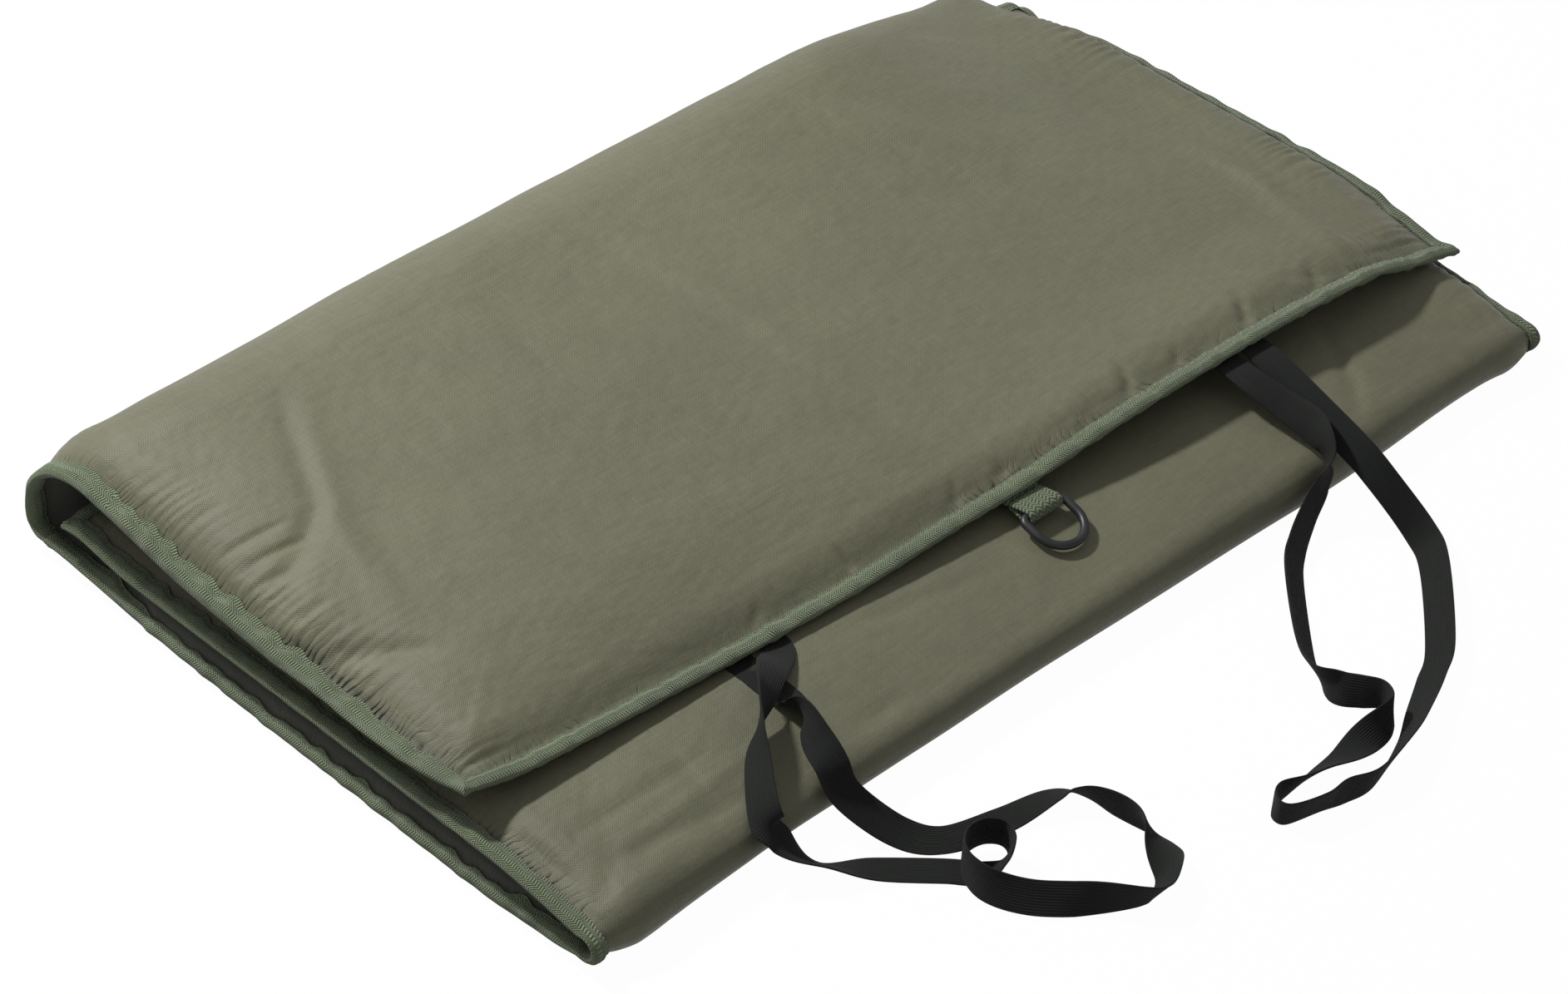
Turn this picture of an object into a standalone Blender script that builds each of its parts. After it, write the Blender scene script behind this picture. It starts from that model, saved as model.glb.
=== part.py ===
"""Unhooking mat folded in three.

A padded cloth mat lies folded like a letter: the bottom panel on the ground, the inner flap
turned back over it at the front fold, and the top flap turned over both at the back fold.
Metres, +Z up, X along the folds, -Y towards the front fold. The origin is on the ground, in
the middle of the folded mat.
"""
import math

import bmesh
import bpy
import numpy as np

# The folded mat
MAT_LENGTH = 0.600
FOLDED_DEPTH = 0.365
BACK_FOLD_HEIGHT = 0.070
PANEL_THICKNESS = 0.0145
COVER_THICKNESS = 0.0005
CLEARANCE = 0.0003
CROWN_WIDTH = 0.024

# The front fold and the inner flap
FRONT_FOLD_THICKNESS = 0.011
LAYER_GAP = 0.001
FRONT_TAPER_LENGTH = 0.060
INNER_FLAP_WALL_GAP = 0.013
INNER_EDGE_LIFT = 0.004
INNER_LIFT_LENGTH = 0.045
BOTTOM_EDGE_DROOP = 0.0035

# The back fold: a tight lower corner and a wide upper curve. The seams stand out at its ends
LOWER_RADIUS = 0.009
LOWER_TURN = math.radians(80)
FOLD_EAR = 0.005
RIDGE_PLACE_SHARES = (-1.0, -0.8, 0.42, 0.56, 0.68, 0.84, 1.0)
RIDGE_HEIGHT_SHARES = (0.91, 1.0, 1.0, 0.95, 0.85, 0.7, 0.6)

# The top flap
FRONT_OVERHANG_LEFT = 0.078
FRONT_OVERHANG_RIGHT = 0.053
FRONT_EDGE_HEIGHT = 0.040
FRONT_WAVE_LENGTH = 0.070
FRONT_PLACE_SHARES = (-1.0, -0.8, -0.62, -0.45, -0.3, -0.1, 0.05, 0.2, 0.37, 0.6, 0.8, 0.9, 1.0)
FRONT_HEIGHT_SHARES = (1.03, 0.93, 0.88, 0.84, 0.84, 0.92, 0.97, 1.08, 1.17, 1.22, 1.16, 0.92, 0.7)
LEFT_EDGE_DROOP = 0.006
RIGHT_EDGE_LIFT = 0.004
EDGE_DROOP_WIDTH = 0.045
DROOP_BACK_SHARE = 0.3
DROOP_FRONT_SHARE = 0.3

# The edge binding
BINDING_WIDTH = 0.011
BINDING_THICKNESS = 0.0008
BINDING_SLOT = 0.0003
COVER_SETBACK = 0.0015
CROWN_SETBACK = 0.001
THREAD_SETBACK = 0.0085
THREAD_WIDTH = 0.0006
THREAD_HEIGHT = 0.0004

# The webbing tab and the D-ring
TAB_PLACE = 0.016
TAB_WIDTH = 0.020
TAB_REACH = 0.0105
TAB_SEWN_LENGTH = 0.003
TAB_STAND_OFF = 0.0005
SEWN_END_LENGTH = 0.008
WEBBING_THICKNESS = 0.0012
RING_ROD = 0.0040
RING_SIDE_CLEARANCE = 0.00075
RING_DEPTH = 0.0220
RING_CORNER_RADIUS = 0.003
RING_TILT = math.radians(15)

# The elastic loops: the route of each band's middle in millimetres, then its lean in degrees.
# A lean of 0 lies flat, and one of 90 stands on edge
MILLIMETRE = 0.001
ELASTIC_WIDTH = 0.015
ELASTIC_THICKNESS = 0.0012
LEFT_ROUTE = (
    (-130, -103, 31.0, 0), (-130, -112, 31.0, 0), (-136, -119, 33.0, 4), (-149, -128, 38.8, 30),
    (-163, -139, 41.4, 64), (-175, -148, 38.8, 100), (-186, -158, 33.8, 130),
    (-203, -180, 27.5, 150), (-201, -188, 17.5, 170), (-191, -201, 6.5, 218), (-173, -215, 2.0, 185),
    (-151, -235, 0.9, 180), (-141, -246, 1.0, 184), (-133, -250, 5.2, 228),
    (-126, -248, 8.6, 262), (-124, -241, 9.6, 270), (-130, -235, 10.0, 270),
    (-140, -235, 10.2, 270), (-149, -243, 10.6, 275), (-151, -256, 9.6, 295),
    (-144, -269, 7.2, 310), (-132, -282, 6.5, 310), (-107, -304, 7.5, 255),
    (-98, -306, 7.0, 232), (-87, -300, 7.0, 222), (-78, -287, 6.5, 160), (-74, -274, 7.7, 105),
    (-75, -259, 7.7, 95), (-79, -244, 6.5, 125), (-88, -236, 4.6, 155), (-111, -230, 1.0, 180),
    (-139, -223, 2.6, 187), (-152, -209, 5.2, 200), (-162, -188, 17.5, 204),
    (-163, -178, 30.0, 200), (-160, -166, 34.0, 225), (-155, -155, 36.0, 262),
    (-151, -147, 32.4, 322), (-149, -137, 30.6, 354), (-149, -103, 31.0, 360),
)
RIGHT_ROUTE = (
    (161, -115, 45.2, 0), (161, -125, 45.2, 0), (160, -136, 43.6, -8), (158, -156, 38.5, -28),
    (155, -187, 32.0, -30), (155, -203, 25.0, -30), (157, -229, 6.5, -32),
    (145, -248, 5.2, -36), (106, -284, 5.0, -35), (87, -295, 5.0, -34), (67, -305, 6.0, -42),
    (48, -314, 7.2, -58), (19, -322, 7.8, -76), (3, -319, 7.9, -88),
    (-9, -317, 7.6, -74), (-26, -312, 7.8, -78), (-27, -305, 7.9, -90), (-20, -301, 7.9, -95),
    (-7, -302, 7.2, -118), (6, -302, 6.2, -135), (22, -302, 4.0, -160), (37, -301, 4.5, -200),
    (49, -301, 7.0, -240), (57, -298, 7.9, -266), (60, -290, 7.9, -276), (55, -282, 7.4, -294),
    (50, -274, 7.2, -300), (50, -262, 7.4, -245), (60, -246, 6.6, -232), (92, -212, 6.8, -230),
    (108, -200, 7.6, -238), (126, -191, 11.0, -248), (137, -188, 18.5, -262),
    (142, -186, 27.0, -270), (145, -180, 34.0, -285), (148, -168, 36.0, -318),
    (147, -154, 38.0, -340), (144, -137, 43.0, -354), (144, -125, 44.5, -360),
    (144, -115, 44.5, -360),
)

# How finely the shapes are cut
EDGE_PLACE_SHARES = (0.25, 0.5, 1.0, 1.9)
TAPER_PLACE_SHARES = (0.0, 0.2, 0.5, 1.0)
INTERIOR_CELLS = 6
PANEL_CELLS = 6
FOLD_CELLS = 3
FRONT_FOLD_CELLS = 4
FOLD_HINGES = 4
ROUND_SIDES = 8
ARC_CELLS = 8
CORNER_CELLS = 2
BAND_CELLS = 2

# Colours as red, green and blue, then roughness
OUTER_CLOTH = (0.130, 0.125, 0.088, 0.55)
INNER_CLOTH = (0.060, 0.062, 0.050, 0.60)
BINDING_CLOTH = (0.150, 0.185, 0.110, 0.85)
THREAD = (0.090, 0.110, 0.070, 0.80)
FOAM = (0.210, 0.220, 0.210, 0.95)
WEBBING = (0.140, 0.180, 0.100, 0.80)
ELASTIC = (0.018, 0.020, 0.019, 0.80)
RING_PLASTIC = (0.030, 0.031, 0.033, 0.35)

HALF_LENGTH = MAT_LENGTH / 2
HALF_PANEL = PANEL_THICKNESS / 2
HALF_FRONT = FRONT_FOLD_THICKNESS / 2
SEAM_HALF = CLEARANCE / 2 + COVER_THICKNESS
CROWN_START = BINDING_WIDTH + CROWN_SETBACK
MITRE_SETBACK = CLEARANCE / math.sqrt(2)
TAPE_INSIDE = SEAM_HALF + BINDING_SLOT
TAPE_OUTSIDE = TAPE_INSIDE + BINDING_THICKNESS

FRONT_RADIUS = HALF_FRONT + LAYER_GAP / 2
FRONT_CENTRE_Y = -FOLDED_DEPTH / 2 + FRONT_RADIUS + HALF_FRONT
FRONT_CENTRE_Z = HALF_FRONT + FRONT_RADIUS
INNER_FLAP_Z = PANEL_THICKNESS + LAYER_GAP + HALF_PANEL

LOWER_RISE = LOWER_RADIUS * (1 - math.cos(LOWER_TURN))
UPPER_RADIUS = (BACK_FOLD_HEIGHT - PANEL_THICKNESS - LOWER_RISE) / (1 + math.cos(LOWER_TURN))
FOLD_BULGE = LOWER_RADIUS * math.sin(LOWER_TURN) + UPPER_RADIUS * (1 - math.sin(LOWER_TURN))
BACK_START_Y = FOLDED_DEPTH / 2 - HALF_PANEL - FOLD_BULGE
INNER_FLAP_END_Y = FOLDED_DEPTH / 2 - PANEL_THICKNESS - INNER_FLAP_WALL_GAP


def ease(share):
    """Smooth rise from 0 to 1."""
    share = np.clip(share, 0, 1)
    return share * share * (3 - 2 * share)


def swell(distance, width):
    """Quarter sine from 0 to 1 over a width: the rounded shoulder of a padded edge."""
    return np.sin(np.clip(distance / width, 0, 1) * math.pi / 2)


def through(x, places, values):
    """Smooth curve, without overshoot, through values at places along the mat."""
    at = x / HALF_LENGTH
    places, values = np.array(places), np.array(values)
    steps = np.diff(places)
    secants = np.diff(values) / steps
    before, after = secants[:-1], secants[1:]
    same_way = before * after > 0
    inner = np.where(same_way, 2 * before * after / np.where(same_way, before + after, 1), 0)
    slopes = np.concatenate([secants[:1], inner, secants[-1:]])
    k = np.clip(np.searchsorted(places, at, side="right") - 1, 0, len(steps) - 1)
    t = np.clip((at - places[k]) / steps[k], 0, 1)
    rise = secants[k] * steps[k]
    first, last = slopes[k] * steps[k], slopes[k + 1] * steps[k]
    return (values[k] + t * first + t * t * (3 * rise - 2 * first - last)
            + t ** 3 * (first + last - 2 * rise))


def side_crown(x):
    return swell(HALF_LENGTH - np.abs(x) - CROWN_START, CROWN_WIDTH)


def edge_crown(inward):
    return swell(inward - CROWN_START, CROWN_WIDTH)


def half_thickness(x, full, inward=None):
    """Half the thickness over both covers: full inside, and two cloths thick in the binding."""
    crown = side_crown(x)
    if inward is not None:
        crown = crown * edge_crown(inward)
    return SEAM_HALF + (full - SEAM_HALF) * crown


def near_side(x):
    """1 at a side edge, falling to 0 inside the droop's width."""
    return np.clip(1 - (HALF_LENGTH - np.abs(x)) / EDGE_DROOP_WIDTH, 0, 1) ** 2


def ear(x, turn):
    """How far the side seams stand out from a fold."""
    return FOLD_EAR * near_side(x) * np.sin(np.clip(turn, 0, math.pi)) ** 2


def section(y, z, turn, half):
    """A line of the mat's middle surface: its places, outward normal and half thickness."""
    y, z, turn, half = np.broadcast_arrays(y, z, turn, half)
    return {"y": y, "z": z, "out_y": np.sin(turn), "out_z": -np.cos(turn), "half": half}


def bottom_at(x, y):
    """The bottom panel, thinner towards the front fold, its side edges hanging a little."""
    grow = swell(y - FRONT_CENTRE_Y, FRONT_TAPER_LENGTH)
    full = HALF_FRONT + (HALF_PANEL - HALF_FRONT) * grow
    droop = BOTTOM_EDGE_DROOP * (1 - side_crown(x)) * grow * (1 - ease(y / BACK_START_Y))
    return section(y, full - droop, 0.0 * x, half_thickness(x, full))


def front_fold_at(x, angle):
    """The front fold, half a turn about its crease, from underneath to on top."""
    radius = FRONT_RADIUS + ear(x, angle)
    y = FRONT_CENTRE_Y - radius * np.sin(angle)
    z = FRONT_CENTRE_Z - radius * np.cos(angle)
    return section(y, z, -angle + 0 * x, half_thickness(x, HALF_FRONT))


def inner_flap_at(x, y):
    """The inner flap, rising from the front fold, its free edge turned up in the back fold."""
    grow = swell(y - FRONT_CENTRE_Y, FRONT_TAPER_LENGTH)
    full = HALF_FRONT + (HALF_PANEL - HALF_FRONT) * grow
    crease_z = FRONT_CENTRE_Z + FRONT_RADIUS
    z = crease_z + (INNER_FLAP_Z - crease_z) * grow
    z = z + INNER_EDGE_LIFT * ease((y - INNER_FLAP_END_Y) / INNER_LIFT_LENGTH + 1)
    return section(y, z, math.pi + 0 * x, half_thickness(x, full, INNER_FLAP_END_Y - y))


def ridge_height(x):
    return BACK_FOLD_HEIGHT * through(x, RIDGE_PLACE_SHARES, RIDGE_HEIGHT_SHARES)


def back_fold_line(x, turn):
    """The back fold's middle line at a turn of the cloth: lower corner, then upper curve."""
    rise = ridge_height(x) - PANEL_THICKNESS - LOWER_RISE
    radius = rise / (1 + math.cos(LOWER_TURN))
    low, high = np.minimum(turn, LOWER_TURN), np.maximum(turn, LOWER_TURN)
    out = ear(x, turn)
    y = (BACK_START_Y + LOWER_RADIUS * np.sin(low)
         + radius * (np.sin(high) - math.sin(LOWER_TURN)) + out * np.sin(turn))
    z = (HALF_PANEL + LOWER_RADIUS * (1 - np.cos(low))
         + radius * (math.cos(LOWER_TURN) - np.cos(high)) - out * np.cos(turn))
    return y, z


def back_fold_at(x, turn, shift=0.0):
    y, z = back_fold_line(x, turn)
    return section(y + shift * np.cos(turn), z + shift * np.sin(turn), turn + 0 * x,
                   half_thickness(x, HALF_PANEL))


def front_edge_y(x):
    across = (x + HALF_LENGTH) / MAT_LENGTH
    overhang = FRONT_OVERHANG_LEFT + (FRONT_OVERHANG_RIGHT - FRONT_OVERHANG_LEFT) * across
    return -FOLDED_DEPTH / 2 + overhang


def top_slope(x):
    """How steeply the top flap falls from the back fold to its front edge."""
    y, z = back_fold_line(x, math.pi)
    return np.arctan2(z - FRONT_EDGE_HEIGHT, y - front_edge_y(x))


def top_flap_at(x, inward):
    """The top flap, at a distance from its front edge, with the edge's waves."""
    slope = top_slope(x)
    start_y, start_z = back_fold_line(x, math.pi + slope)
    share = 1 - inward / (start_y - front_edge_y(x))
    y = start_y - (start_y - front_edge_y(x)) * share
    z = start_z - (start_z - FRONT_EDGE_HEIGHT) * share
    wave = through(x, FRONT_PLACE_SHARES, FRONT_HEIGHT_SHARES) - 1
    z = z + FRONT_EDGE_HEIGHT * wave * (1 - ease(inward / FRONT_WAVE_LENGTH))
    middle = ease(share / DROOP_BACK_SHARE) * ease((1 - share) / DROOP_FRONT_SHARE)
    edge = np.where(x < 0, -LEFT_EDGE_DROOP, RIGHT_EDGE_LIFT)
    z = z + edge * middle * near_side(x)
    return section(y, z, math.pi + slope, half_thickness(x, HALF_PANEL, inward))


def top_flap_length(x):
    y, _ = back_fold_line(x, math.pi + top_slope(x))
    return y - front_edge_y(x)


RING_INNER_WIDTH = TAB_WIDTH + 2 * RING_SIDE_CLEARANCE
TAB_HALF = WEBBING_THICKNESS + CLEARANCE / 2
BAR_HOLE_RADIUS = RING_ROD / 2 + CLEARANCE

FULL_TURN = math.pi + float(top_slope(np.array(0.0)))
HINGE_TURNS = tuple((k + 0.5) * FULL_TURN / FOLD_HINGES for k in range(FOLD_HINGES))


def material(name, finish):
    made = bpy.data.materials.new(name)
    made.use_nodes = True
    shader = made.node_tree.nodes["Principled BSDF"]
    shader.inputs["Base Color"].default_value = (*finish[:3], 1)
    shader.inputs["Roughness"].default_value = finish[3]
    made.diffuse_color = (*finish[:3], 1)
    return made


def add_object(name, mesh, finish, smooth_angle=40):
    mesh.materials.append(material(name, finish))
    mesh.shade_smooth()
    mesh.set_sharp_from_angle(angle=math.radians(smooth_angle))
    made = bpy.data.objects.new(name, mesh)
    bpy.context.collection.objects.link(made)
    return made


def mesh_from(name, tubes):
    """A mesh of closed tubes: rings of points, a number for each place in a ring, end faces.

    A cell between two rings is cut from the place with the lower number on the first ring.
    """
    shape = bmesh.new()
    for rings, order, ends in tubes:
        rows = [[shape.verts.new(point) for point in ring] for ring in rings]
        for row, following in zip(rows, rows[1:]):
            for k, here in enumerate(order):
                n = (k + 1) % len(order)
                first, last = (k, n) if here < order[n] else (n, k)
                shape.faces.new((row[k], row[n], following[last]))
                shape.faces.new((following[n], following[k], row[first]))
        for row in (rows[0], rows[-1]):
            for end in ends:
                shape.faces.new([row[k] for k in end])
    bmesh.ops.recalc_face_normals(shape, faces=shape.faces)
    mesh = bpy.data.meshes.new(name)
    shape.to_mesh(mesh)
    shape.free()
    return mesh


def placed(x, line, offset):
    """Points of a section line, offset along its outward normal."""
    y = line["y"] + line["out_y"] * offset
    z = line["z"] + line["out_z"] * offset
    return np.stack(np.broadcast_arrays(x, y, z), -1)


def grid_faces(corners):
    """Two triangles for each cell of a grid of vertex numbers, all cut along the same diagonal."""
    a, b = corners[:-1, :-1].ravel(), corners[:-1, 1:].ravel()
    c, d = corners[1:, 1:].ravel(), corners[1:, :-1].ravel()
    return np.concatenate([np.stack([a, b, c], -1), np.stack([a, c, d], -1)])


def layer(name, xs, lines, low, high, finish):
    """A closed sheet between two offsets from the middle surface, on a grid of lines by x."""
    under = np.array([placed(xs, line, low(line["half"])) for line in lines])
    over = np.array([placed(xs, line, high(line["half"])) for line in lines])
    size = under.shape[0] * under.shape[1]
    low_side = np.arange(size).reshape(under.shape[:2])
    high_side = low_side + size
    faces = [grid_faces(low_side), grid_faces(high_side)[:, ::-1]]
    for low_edge, high_edge in ((low_side[0], high_side[0]), (low_side[-1], high_side[-1]),
                                (low_side[:, 0], high_side[:, 0]),
                                (low_side[:, -1], high_side[:, -1])):
        faces.append(grid_faces(np.stack([low_edge, high_edge])))
    mesh = bpy.data.meshes.new(name)
    points = np.concatenate([under.reshape(-1, 3), over.reshape(-1, 3)])
    mesh.from_pydata(points.tolist(), [], np.concatenate(faces).tolist())
    shape = bmesh.new()
    shape.from_mesh(mesh)
    bmesh.ops.recalc_face_normals(shape, faces=shape.faces)
    shape.to_mesh(mesh)
    shape.free()
    return add_object(name, mesh, finish)


# Distances from an edge, close together where the padding rounds off
FOAM_PLACES = [CROWN_START + CROWN_WIDTH * share for share in EDGE_PLACE_SHARES]
COVER_PLACES = [COVER_SETBACK, CROWN_START, *FOAM_PLACES]


def across_places(near):
    left = np.array(near) - HALF_LENGTH
    middle = np.linspace(left[-1], -left[-1], INTERIOR_CELLS + 1)[1:-1]
    return np.concatenate([left, middle, -left[::-1]])


FOAM_X = across_places(FOAM_PLACES)
COVER_X = across_places(COVER_PLACES)


def bottom_lines(x, near):
    """The bottom panel with the first part of the back fold's turn."""
    ys = [FRONT_CENTRE_Y + FRONT_TAPER_LENGTH * share for share in TAPER_PLACE_SHARES]
    ys[0] += CLEARANCE
    ys += list(np.linspace(ys[-1], BACK_START_Y, PANEL_CELLS)[1:])
    lines = [bottom_at(x, y) for y in ys]
    return lines + [back_fold_at(x, HINGE_TURNS[0], -CLEARANCE / 2)]


def front_fold_lines(x, near):
    return [front_fold_at(x, angle) for angle in np.linspace(0, math.pi, FRONT_FOLD_CELLS + 1)]


def inner_flap_lines(x, near):
    ys = [FRONT_CENTRE_Y + FRONT_TAPER_LENGTH * share for share in TAPER_PLACE_SHARES]
    ys[0] += CLEARANCE
    ys += list(np.linspace(ys[-1], INNER_FLAP_END_Y - near[-1], PANEL_CELLS)[1:])
    ys += [INNER_FLAP_END_Y - inward for inward in near[-2::-1]]
    return [inner_flap_at(x, y) for y in ys]


def fold_lines(x, number):
    """One of the back fold's strips, from one hinge's turn to the next."""
    turns = np.linspace(HINGE_TURNS[number], HINGE_TURNS[number + 1], FOLD_CELLS + 1)
    shifts = [CLEARANCE / 2, *[0.0] * (FOLD_CELLS - 1), -CLEARANCE / 2]
    return [back_fold_at(x, turn, shift) for turn, shift in zip(turns, shifts)]


def top_flap_lines(x, near):
    reach = top_flap_length(x)
    steps = np.linspace(0, 1, PANEL_CELLS + 1)[:-1]
    inwards = [reach + (near[-1] - reach) * step for step in steps] + near[::-1]
    lines = [back_fold_at(x, HINGE_TURNS[-1], CLEARANCE / 2)]
    return lines + [top_flap_at(x, inward) for inward in inwards]


def padded_panel(name, lines_for):
    """A panel's foam and its two covers."""
    skin = COVER_THICKNESS + CLEARANCE
    layer(name + "_foam", FOAM_X, lines_for(FOAM_X, FOAM_PLACES),
          lambda half: skin - half, lambda half: half - skin, FOAM)
    cover_lines = lines_for(COVER_X, COVER_PLACES)
    layer(name + "_outer_cover", COVER_X, cover_lines,
          lambda half: half - COVER_THICKNESS, lambda half: half, OUTER_CLOTH)
    layer(name + "_inner_cover", COVER_X, cover_lines,
          lambda half: -half, lambda half: COVER_THICKNESS - half, INNER_CLOTH)


# Inward distance and offset of the tape's section: folded over the seam, open inwards
TAPE_POINTS = (
    (BINDING_WIDTH, -TAPE_OUTSIDE), (BINDING_THICKNESS, -TAPE_OUTSIDE), (0.0, -TAPE_INSIDE),
    (0.0, TAPE_INSIDE), (BINDING_THICKNESS, TAPE_OUTSIDE), (BINDING_WIDTH, TAPE_OUTSIDE),
    (BINDING_WIDTH, TAPE_INSIDE), (BINDING_THICKNESS, TAPE_INSIDE),
    (BINDING_THICKNESS, -TAPE_INSIDE), (BINDING_WIDTH, -TAPE_INSIDE),
)
TAPE_END_CELLS = ((0, 1, 8, 9), (1, 2, 8), (2, 3, 7, 8), (3, 4, 7), (4, 5, 6, 7))
# The thread's section, lying on the tape's outer face
THREAD_BASE = TAPE_OUTSIDE + CLEARANCE
THREAD_POINTS = (
    (THREAD_SETBACK - THREAD_WIDTH / 2, THREAD_BASE),
    (THREAD_SETBACK + THREAD_WIDTH / 2, THREAD_BASE),
    (THREAD_SETBACK + THREAD_WIDTH / 2, THREAD_BASE + THREAD_HEIGHT),
    (THREAD_SETBACK - THREAD_WIDTH / 2, THREAD_BASE + THREAD_HEIGHT),
)
FLAT_ENDS = ((0, 1, 2, 3),)
BAND_ORDER = (0, 1, 1, 0)


def side_rings(side, lines_for, points, ends):
    """Rings of a strip along a side edge. At a free edge it ends in a mitre."""
    columns = []
    for inward, offset in points:
        x = np.array(side * (HALF_LENGTH - inward))
        near = [inward + MITRE_SETBACK, *COVER_PLACES[1:]]
        columns.append([placed(x, line, offset) for line in lines_for(x, near)])
    return list(zip(*columns)), [-side * inward for inward, _ in points], ends


def edge_rings(line_at, points, ends):
    """Rings of a strip along a free edge, with a mitre at each end."""
    columns = []
    for inward, offset in points:
        limit = HALF_LENGTH - inward - MITRE_SETBACK
        xs = np.array([-limit, *COVER_X[1:-1], limit])
        columns.append(placed(xs, line_at(xs, inward), offset))
    return list(zip(*columns)), [-inward for inward, _ in points], ends


def strip(name, tubes, finish):
    return add_object(name, mesh_from(name, tubes), finish, 50)


def side_strips(name, lines_for):
    for word, side in (("left", -1), ("right", 1)):
        tape = side_rings(side, lines_for, TAPE_POINTS, TAPE_END_CELLS)
        strip(f"{name}_binding_{word}", [tape], BINDING_CLOTH)


def inner_edge_at(x, inward):
    return inner_flap_at(x, INNER_FLAP_END_Y - inward)


def stitch_row(name, lines_for, edge_at):
    """The thread along a flap's binding: one strand down a side, along the edge and back."""
    columns = []
    for inward, offset in THREAD_POINTS:
        near = [inward, *COVER_PLACES[1:]]
        left, right = np.array(inward - HALF_LENGTH), np.array(HALF_LENGTH - inward)
        down = [placed(left, line, offset) for line in lines_for(left, near)]
        along = placed(COVER_X[1:-1], edge_at(COVER_X[1:-1], inward), offset)
        back = [placed(right, line, offset) for line in lines_for(right, near)[::-1]]
        columns.append([*down, *along, *back])
    strip(name + "_stitching", [(list(zip(*columns)), BAND_ORDER, FLAT_ENDS)], THREAD)


def build_mat():
    shapes = {"bottom": bottom_lines, "front_fold": front_fold_lines,
              "inner_flap": inner_flap_lines, "top_flap": top_flap_lines}
    for number, name in enumerate(("fold_lower", "fold_middle", "fold_upper")):
        shapes[name] = lambda x, near, number=number: fold_lines(x, number)
    for name, lines_for in shapes.items():
        padded_panel(name, lines_for)
        side_strips(name, lines_for)
    edges = (("inner_flap", "rear", inner_edge_at), ("top_flap", "front", top_flap_at))
    for name, word, edge_at in edges:
        tape = edge_rings(edge_at, TAPE_POINTS, TAPE_END_CELLS)
        strip(f"{name}_binding_{word}", [tape], BINDING_CLOTH)
        stitch_row(name, shapes[name], edge_at)


def smooth_through(points, cells):
    """Points of a smooth curve through a list of points, with a few cells between each two."""
    points = np.array(points, float)
    slopes = np.gradient(points, axis=0)
    place = np.linspace(0, len(points) - 1, cells * (len(points) - 1) + 1)
    k = np.minimum(place.astype(int), len(points) - 2)
    t = (place - k)[:, None]
    rise = points[k + 1] - points[k]
    return (points[k] + t * slopes[k] + t * t * (3 * rise - 2 * slopes[k] - slopes[k + 1])
            + t ** 3 * (slopes[k] + slopes[k + 1] - 2 * rise))


def elastic_loop(name, route):
    """A flat band that follows its route and leans as the route says."""
    route = smooth_through(route, BAND_CELLS)
    middle, lean = route[:, :3] * MILLIMETRE, np.radians(route[:, 3:])
    along = np.gradient(middle, axis=0)
    along /= np.linalg.norm(along, axis=1, keepdims=True)
    side = np.cross(along, (0, 0, 1))
    side /= np.linalg.norm(side, axis=1, keepdims=True)
    across = np.cos(lean) * side + np.sin(lean) * np.cross(side, along)
    face = np.cross(along, across)
    reach = np.abs(across[:, 2]) * ELASTIC_WIDTH / 2 + np.abs(face[:, 2]) * ELASTIC_THICKNESS / 2
    middle[:, 2] = np.maximum(middle[:, 2], reach)
    corners = []
    for side_sign, face_sign in ((-1, -1), (1, -1), (1, 1), (-1, 1)):
        corners.append(middle + across * side_sign * ELASTIC_WIDTH / 2
                       + face * face_sign * ELASTIC_THICKNESS / 2)
    length = np.linalg.norm(np.diff(middle, axis=0), axis=1).sum()
    print(f"{name}: {length:.3f} m along the band")
    return strip(name, [(list(zip(*corners)), BAND_ORDER, FLAT_ENDS)], ELASTIC)


def loop_section(turns, far_radius, near_at, near_radius):
    """A closed outline round two circles: one about the bar, one about a place nearer the seam."""
    half = math.pi / 2 + math.asin((far_radius - near_radius) / (TAB_REACH - near_at))
    points = [(TAB_REACH + far_radius * math.cos(turn), far_radius * math.sin(turn))
              for turn in np.linspace(-half, half, turns)]
    points += [(near_at + near_radius * math.cos(turn), near_radius * math.sin(turn))
               for turn in np.linspace(half, 2 * math.pi - half, turns // 2)]
    return points


def tab_axis():
    """The seam that the tab swings on, under the top flap's front binding."""
    line = top_flap_at(np.array(TAB_PLACE), 0.0)
    height = float(line["z"]) - TAPE_OUTSIDE - CLEARANCE - TAB_HALF
    return (TAB_PLACE, float(line["y"]) - TAB_STAND_OFF, height)


def build_tab():
    """Webbing folded round the ring's bar: one closed body with a hole for the bar."""
    sewn_half = TAB_HALF - WEBBING_THICKNESS
    inner_near = sewn_half + (BAR_HOLE_RADIUS - sewn_half) * TAB_SEWN_LENGTH / TAB_REACH
    outer = loop_section(ARC_CELLS, BAR_HOLE_RADIUS + WEBBING_THICKNESS, 0.0, TAB_HALF)
    inner = loop_section(ARC_CELLS, BAR_HOLE_RADIUS, TAB_SEWN_LENGTH, inner_near)
    shape = bmesh.new()
    loops = [[shape.verts.new((x, -along, height)) for along, height in section_points]
             for x in (-TAB_WIDTH / 2, TAB_WIDTH / 2) for section_points in (outer, inner)]
    left_outer, left_inner, right_outer, right_inner = loops
    for a, b in ((left_outer, right_outer), (left_inner, right_inner),
                 (left_outer, left_inner), (right_outer, right_inner)):
        for k in range(len(a)):
            n = (k + 1) % len(a)
            shape.faces.new((a[k], a[n], b[n], b[k]))
    bmesh.ops.recalc_face_normals(shape, faces=shape.faces)
    mesh = bpy.data.meshes.new("webbing_tab")
    shape.to_mesh(mesh)
    shape.free()
    tab = add_object("webbing_tab", mesh, WEBBING)
    tab.location = tab_axis()


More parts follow.
